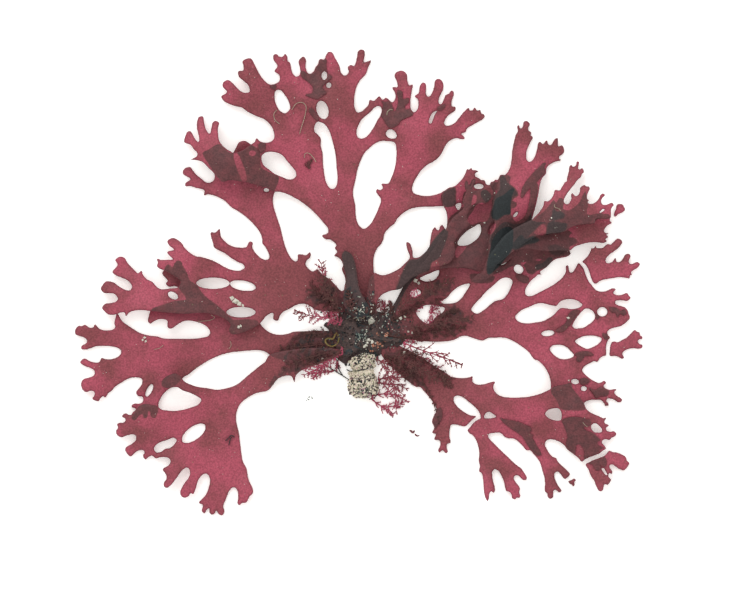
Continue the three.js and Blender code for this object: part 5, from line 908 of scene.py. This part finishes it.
# Sprigs of the same fine seaweed that are too small to be tufts of their own: the dark felt on the necks of
# the left and right fronds, the nets beside the lime knob, and a few in the windows.
SPRIGS = [
    (0.9, [(1.3, -1.6), (2.2, -2.0), (3.1, -2.5), (3.9, -3.4)]),
    (0.8, [(1.5, -3.4), (2.3, -3.2), (3.2, -3.2), (4.0, -3.1)]),
    (0.8, [(1.5, -3.6), (2.4, -3.8), (3.2, -3.8), (4.0, -4.2)]),
    (0.7, [(0.9, -4.9), (1.7, -5.6), (2.7, -5.7), (4.0, -5.2)]),
    (0.7, [(0.9, -4.8), (2.0, -4.6), (3.0, -4.7), (4.1, -5.3)]),
    (0.35, [(1.9, -5.7), (2.4, -6.1), (2.8, -6.55)]),
    (0.8, [(-1.4, -0.9), (-2.2, -1.5), (-3.0, -1.9), (-3.9, -2.1), (-4.7, -2.5)]),
    (0.6, [(-1.6, -1.0), (-1.9, -1.8), (-2.0, -2.6)]),
    (0.7, [(-3.0, -1.9), (-3.5, -2.7), (-4.0, -3.3)]),
    (0.5, [(-2.2, -2.6), (-3.2, -2.8), (-4.4, -2.9)]),
    (0.6, [(2.0, 2.1), (2.1, 2.8), (1.9, 3.3)]),
    (0.5, [(2.5, 2.3), (2.7, 2.8), (2.5, 3.3)]),
    (1.0, [(6.2, -2.2), (7.0, -3.0), (7.8, -4.0)]),
    (1.1, [(-1.8, -0.2), (-3.5, -0.4), (-5.2, -0.6), (-6.8, -0.6)]),
    (0.9, [(-1.8, 0.5), (-3.2, 0.5), (-4.6, 0.5), (-5.6, 0.2)]),
    (1.0, [(-2.2, -1.0), (-3.6, -1.3), (-5.2, -1.8), (-6.4, -2.4)]),
    (0.9, [(-1.9, 2.8), (-3.0, 3.4), (-3.9, 4.2), (-4.2, 5.0)]),
    (0.9, [(-1.6, 2.0), (-2.2, 2.1), (-2.8, 2.2)]),
    (1.1, [(4.4, 0.6), (6.0, 0.7), (7.6, 0.9), (9.0, 1.0)]),
    (0.9, [(5.9, 1.4), (7.0, 2.1), (8.4, 2.6)]),
    (0.7, [(6.0, 2.2), (6.4, 2.9), (7.0, 3.4)]),
    (0.8, [(0.4, 2.4), (1.2, 2.6), (1.6, 3.4)]),
    (0.8, [(-0.4, 2.0), (-0.8, 3.0), (-1.0, 4.2)]),
    (0.9, [(2.6, 1.6), (3.6, 2.2), (4.6, 2.6), (5.4, 3.2)]),
    (1.0, [(2.4, 0.4), (3.4, 0.2), (4.6, 0.0), (5.6, 0.1)]),
    (1.0, [(2.0, -1.2), (3.2, -2.0), (4.2, -2.9), (4.9, -3.7)]),
    (0.9, [(3.4, -1.0), (4.4, -1.2), (5.4, -1.5), (6.2, -2.0)]),
    (0.35, [(5.3, -2.4), (5.3, -3.4), (5.7, -4.2), (6.2, -5.2), (6.6, -6.4), (6.8, -7.2)]),
    (0.35, [(-4.3, 14.6), (-4.4, 15.0), (-4.1, 15.4)]),
    (0.15, [(4.25, -7.7), (4.5, -7.9), (4.65, -7.75)]),
    (0.12, [(4.7, -8.05), (4.9, -8.2), (5.05, -8.15)]),
]


def on_top(xy):
    """Just above whatever lies highest there."""
    return at(over_all, xy) + 0.1


NETS = 10  # the first so many are the open nets
for number, (longest, route) in enumerate(SPRIGS):
    shoots, way = (7, OPEN) if number < NETS else (9, DENSE)
    points, faces = feather(route, longest, on_top, np.random.default_rng(40 + number), shoots, **way)
    mesh_piece("sprig_%d" % number, points, faces, tuft_red, thread_values(points))

# Grit. Crumbs of the holdfast and of shell stick to the middle of the plant, a few chips and specks of lime
# to the fronds, and small crumbs roughen the lime knob. Each is an uneven eight-sided grain.
GRIT = {
    "shell_grit": ((226, 222, 208), (150, 146, 124), (240, 236, 226), (176, 184, 160), 6.0),
    "holdfast_crumbs": ((60, 58, 60), (24, 40, 44), (96, 92, 86), (44, 70, 74), 5.0),
    "grey_grit": ((128, 138, 130), (60, 74, 74), (168, 172, 156), (84, 116, 112), 5.0),
    "rusty_chips": ((196, 128, 104), (96, 60, 50), (220, 196, 176), (130, 96, 80), 5.0),
    "rosy_crumbs": ((198, 150, 164), (96, 66, 74), (226, 190, 196), (140, 150, 116), 5.0),
}
pale_grit, dark_grit, grey_grit, rusty_grit, rosy_grit = (
    crust_material(name, *colours, 0.8, 0.00005) for name, colours in GRIT.items()
)
scatter = np.random.default_rng(77)


def grains(name, places, sizes, material, seed, proud=0.3):
    """Grains, all at once: six points out along the axes, pulled about, turned round the upright and joined
    by eight triangles; each stands on whatever lies highest there, by a share of its size."""
    seeded = np.random.default_rng(seed)
    n = len(places)
    out = np.array([[1, 0, 0], [0, 1, 0], [-1, 0, 0], [0, -1, 0], [0, 0, 0.6], [0, 0, -0.6]], float)
    shape = out * (1 + seeded.uniform(-0.35, 0.35, (n, 6, 3)))
    turn = seeded.uniform(0, 6.28, n)[:, None]
    x = shape[..., 0] * np.cos(turn) - shape[..., 1] * np.sin(turn)
    y = shape[..., 0] * np.sin(turn) + shape[..., 1] * np.cos(turn)
    shape = np.stack([x, y, shape[..., 2]], -1) * np.asarray(sizes)[:, None, None]
    ground = np.column_stack([places, at(over_all, places) + proud * np.asarray(sizes)])
    eight = np.array([[0, 1, 4], [1, 2, 4], [2, 3, 4], [3, 0, 4], [1, 0, 5], [2, 1, 5], [3, 2, 5], [0, 3, 5]])
    faces = (eight + 6 * np.arange(n)[:, None, None]).reshape(-1, 3)
    points = (shape + ground[:, None]).reshape(-1, 3)
    return mesh_piece(name, points, faces, material, {"pit": np.zeros(len(points))}, smooth=False)


def scattered(name, places, least, most, material, seed, proud=0.3):
    """Grains at the places, each as large as a draw between the least and the most, in mm."""
    return grains(name, places, scatter.uniform(least, most, len(places)), material, seed, proud)


def spread(x, y, wide, high, many):
    """So many places round a point, thinning out like a bell."""
    return np.column_stack([scatter.normal(x, wide, many), scatter.normal(y, high, many)])


def on_middle(places):
    """Those of the places that lie on the plant, near the holdfast."""
    x, y = places.T
    return places[(abs(x) < 4.4) & (y > -0.9) & (y < 4.2) & (at(surface, places) > 0.1)]


dark_places = on_middle(spread(0.3, 0.7, 1.5, 1.1, 700))
SEAM = [(-1.2, -2.0), (-1.0, -1.6), (-0.5, -1.2), (0.4, -1.0), (1.0, -1.08), (1.45, -1.45)]
seam = smooth_rim(np.array(SEAM))
seam = np.repeat(seam, 8, 0) + scatter.normal(0, 0.07, (8 * len(seam), 2))
scattered("crumbs_seam", seam, 0.05, 0.1, dark_grit, 8)
scattered("crumbs_dark", dark_places, 0.05, 0.16, dark_grit, 1)
scattered("crumbs_grey", on_middle(spread(0.2, 0.9, 1.4, 1.2, 300)), 0.03, 0.09, grey_grit, 9, 1.4)
scattered("crumbs_pale", on_middle(spread(0.2, 0.9, 1.4, 1.2, 190)), 0.02, 0.07, pale_grit, 2, 1.6)
for name, many, left, right, foot, slope, stray, least, most, material, seed in (
    ("chips_rusty", 60, 0.9, 2.5, -0.95, 0.55, 0.26, 0.05, 0.16, rusty_grit, 3),
    ("chips_cream", 50, 0.2, 2.4, -0.75, 0.5, 0.25, 0.04, 0.13, pale_grit, 6),
):
    x = scatter.uniform(left, right, many)
    y = foot + slope * x + scatter.normal(0, stray, many)
    scattered(name, np.column_stack([x, y]), least, most, material, seed, 2.2)
places = np.column_stack([scatter.uniform(-0.8, 1.0, 40), scatter.normal(2.6, 0.2, 40)])
scattered("chips_neck", places, 0.03, 0.08, pale_grit, 7, 1.0)
seam = np.linspace([-0.9, -2.85], [1.1, -2.72], 110) + scatter.normal(0, [0.05, 0.1], (110, 2))
scattered("chips_seam", seam, 0.07, 0.15, lime, 12, 1.0)
turn = scatter.uniform(0, 6.28, 90)
far = np.sqrt(scatter.uniform(0, 1, 90))
places = np.column_stack([1.0 + 0.26 * far * np.cos(turn), 1.6 + 0.36 * far * np.sin(turn)])
scattered("chips_oval", places, 0.06, 0.11, pale_grit, 13, 1.2)
scattered("crumbs_on_paper", spread(-4.3, -4.95, 0.22, 0.13, 14), 0.03, 0.07, grey_grit, 14, 0.6)
for name, many, least, most, material, slot, seed, sink in (
    ("lime_crumbs", 520, 0.05, 0.12, lime, "lime", 15, 1.0),
    ("lime_shadows", 420, 0.04, 0.1, dark_grit, "holdfast_crust", 16, 1.4),
    ("lime_rosy", 130, 0.03, 0.09, rosy_grit, "lime", 18, 1.4),
    ("lime_sparks", 240, 0.02, 0.07, pale_grit, "lime", 17, 1.4),
):
    y = -5.0 + 3.7 * scatter.uniform(0, 1, many) ** sink
    places = np.column_stack([scatter.uniform(-1.15, 1.4, many), y])
    scattered(name, places[at(surface, places) > 0.5], least, most, material, seed, 0.8)
PALE = [
    (0.55, 1.2, 0.14), (4.75, 5.1, 0.22), (5.0, 4.85, 0.16), (3.5, 1.85, 0.16), (3.85, 2.0, 0.14),
    (4.15, 0.72, 0.12), (4.5, 0.6, 0.13), (3.8, -1.1, 0.17), (-0.4, -0.25, 0.14), (-1.3, 0.45, 0.08),
    (-0.8, 0.1, 0.12), (0.9, 2.45, 0.12), (0.3, 2.8, 0.08), (0.6, -0.2, 0.15), (0.8, 0.0, 0.13),
    (-10.9, 3.6, 0.2), (-10.6, 3.3, 0.26), (-10.3, 3.1, 0.22), (-10.0, 2.95, 0.15), (-10.35, 1.1, 0.17),
    (-10.15, 1.2, 0.12), (-18.4, 0.2, 0.14), (-18.3, -0.1, 0.12), (-18.55, 0.0, 0.1), (17.8, 1.9, 0.14),
    (17.8, -3.45, 0.09), (18.45, -1.25, 0.07), (14.9, 11.6, 0.08), (15.85, 11.6, 0.06),
    (11.5, 12.55, 0.09), (11.62, 7.95, 0.1), (16.3, 10.4, 0.07), (10.65, 10.0, 0.09), (9.65, 11.5, 0.1),
    (-3.7, -2.6, 0.12), (-3.6, -3.0, 0.16), (-3.2, -1.6, 0.1),
]
grains("chips_pale", np.array(PALE)[:, :2], np.array(PALE)[:, 2], pale_grit, 4, 0.7)
places = np.column_stack([scatter.uniform(-23, 23, 900), scatter.uniform(-14, 24, 900)])
scattered("specks", places[at(surface, places) > 0.2], 0.015, 0.04, pale_grit, 5)

# Curled threads. A few dead pale threads, an ochre one in a ring, dark ribs round the lime and a teal thread
# lie on the plant; each is a fine round strand that follows whatever is under it.
CURLS = [
    (0.035, [(-7.09, 19.66), (-7.35, 19.32), (-7.26, 18.8), (-6.87, 18.46)]),
    (0.035, [(-5.81, 19.66), (-5.47, 20.17), (-4.96, 20.29), (-4.62, 20.0), (-4.7, 19.15),
             (-4.96, 18.29), (-5.16, 17.61)]),
    (0.035, [(-4.75, 15.56), (-4.7, 15.9), (-4.44, 15.98), (-4.1, 15.73), (-3.76, 15.21)]),
    (0.035, [(-13.85, 1.6), (-12.8, 1.7), (-12.4, 1.93), (-12.7, 2.14)]),
    (0.03, [(-17.6, -0.82), (-17.1, -0.68), (-16.8, -0.43)]),
    (0.03, [(-11.2, -0.77), (-11.0, -0.43), (-11.1, -0.09)]),
    (0.035, [(16.55, 11.55), (16.6, 11.3), (16.9, 11.2), (17.1, 11.0)]),
    (0.03, [(19.0, -7.0), (19.2, -7.25), (19.4, -7.4)]),
    (0.05, [(2.3, 19.2), (2.35, 19.5), (2.6, 19.7), (2.8, 19.65)]),
    (0.05, [(0.3, -0.7), (0.6, -0.3), (1.2, -0.1), (1.7, 0.1)]),
    (0.04, [(-0.4, 1.5), (-0.1, 1.9), (0.4, 1.8)]),
    (0.04, [(-0.6, 1.8), (0.0, 2.1), (0.4, 1.9)]),
]
OCHRE_RING = [(-1.85, 0.35), (-2.0, 0.6), (-2.15, 0.4), (-2.3, 0.1), (-2.7, 0.15), (-2.95, 0.0),
              (-2.85, -0.35), (-2.45, -0.55), (-2.1, -0.45), (-1.85, -0.1), (-1.8, 0.2)]
RIBS = [
    [(-3.7, -1.6), (-3.0, -2.1), (-2.2, -2.6), (-1.4, -3.1), (-0.9, -3.4)],
    [(-2.3, -1.3), (-1.9, -1.9), (-1.8, -2.5), (-1.5, -3.0)],
    [(-1.15, -2.5), (-0.8, -2.68), (-0.2, -2.6), (0.4, -2.5), (0.9, -2.35)],
    [(1.5, -4.6), (1.2, -4.95), (0.8, -5.05)],
    [(-0.5, -1.2), (-0.1, -1.0), (0.5, -0.9), (1.2, -1.05), (1.6, -1.3)],
]
TEAL = [
    [(-11.5, -8.6), (-11.2, -8.35), (-11.0, -8.15), (-10.7, -8.3)],
    [(-11.0, -8.3), (-11.15, -8.7), (-11.2, -9.0)],
]
dead_thread = crust_material(
    "dead_thread", (176, 160, 140), (120, 104, 92), (196, 184, 164), (150, 140, 120), 4.0, 0.7, 0.00002
)
ochre_thread = crust_material(
    "ochre_thread", (150, 128, 78), (100, 84, 48), (176, 156, 104), (120, 112, 72), 4.0, 0.7, 0.00002
)


def curl(name, radius, route, material):
    """A thread along a route, in short straight lengths that overlap a little."""
    line = smooth_rim(np.array(route + route[::-1]), 5)[: 5 * (len(route) - 1) + 1]
    leap = np.diff(line, axis=0)
    points, faces, _ = threads(
        line[:-1], np.arctan2(leap[:, 1], leap[:, 0]), np.linalg.norm(leap, axis=1) * 1.5,
        np.full(len(leap), radius * 1.3), np.zeros(len(leap)), on_top, 3,
    )
    return mesh_piece(name, points, faces, material, {"pit": np.zeros(len(points))})


for number, (radius, route) in enumerate(CURLS):
    curl("curl_%d" % number, radius, route, dead_thread)
curl("ochre_ring", 0.085, OCHRE_RING, ochre_thread)
for number, route in enumerate(RIBS):
    curl("rib_%d" % number, 0.06, route, dark_grit)
for number, route in enumerate(TEAL):
    curl("teal_thread_%d" % number, 0.05, route, dark_grit)

# White paper under the plant, soft daylight from all round, and a camera straight above.
HALF = 2.0  # m, half the side of the paper
UNDER = -0.00002  # m, the paper lies this little below the plant
table = bpy.data.meshes.new("paper")
table.from_pydata(
    [(-HALF, -HALF, UNDER), (HALF, -HALF, UNDER), (HALF, HALF, UNDER),
     (-HALF, HALF, UNDER)], [], [(0, 1, 2, 3)]
)
paper = bpy.data.objects.new("paper", table)
bpy.context.scene.collection.objects.link(paper)
paper_white, tree, here = new_material("paper_white")
tone = mixed(tree, noise(tree, here, 0.225, 2.0), (0.95, 0.945, 0.935, 1), (0.97, 0.968, 0.96, 1))
add_surface(tree, {
    "Base Color": tone, "Roughness": 0.95, "Specular IOR Level": 0.05,
    "Emission Color": (1.0, 0.965, 0.91, 1), "Emission Strength": 0.3,
})
table.materials.append(paper_white)

world = bpy.data.worlds.new("daylight")
bpy.context.scene.world = world
world.use_nodes = True
world.node_tree.nodes["Background"].inputs["Color"].default_value = (1.0, 0.995, 0.985, 1)
world.node_tree.nodes["Background"].inputs["Strength"].default_value = 0.95
lamp = bpy.data.lights.new("window", "SUN")
lamp.energy = 0.75
lamp.angle = 0.6
window = bpy.data.objects.new("window", lamp)
window.rotation_euler = (np.radians(-38), np.radians(-20), 0)
bpy.context.scene.collection.objects.link(window)

PICTURE = 745  # pixels across the picture
PIXELS_PER_MM = 11.7
CENTRE = (1.07, 3.12)  # mm, what the middle of the picture shows
LENS, SENSOR = 400.0, 36.0  # mm
above = bpy.data.cameras.new("above")
above.lens = LENS
above.sensor_width = SENSOR
above.sensor_fit = "HORIZONTAL"
above.clip_start, above.clip_end = 0.01, 10.0
camera = bpy.data.objects.new("above", above)
distance = PICTURE / PIXELS_PER_MM * LENS / SENSOR
camera.location = (CENTRE[0] * 0.001, CENTRE[1] * 0.001, distance * 0.001)
bpy.context.scene.collection.objects.link(camera)
bpy.context.scene.camera = camera
bpy.context.scene.view_settings.view_transform = "Standard"
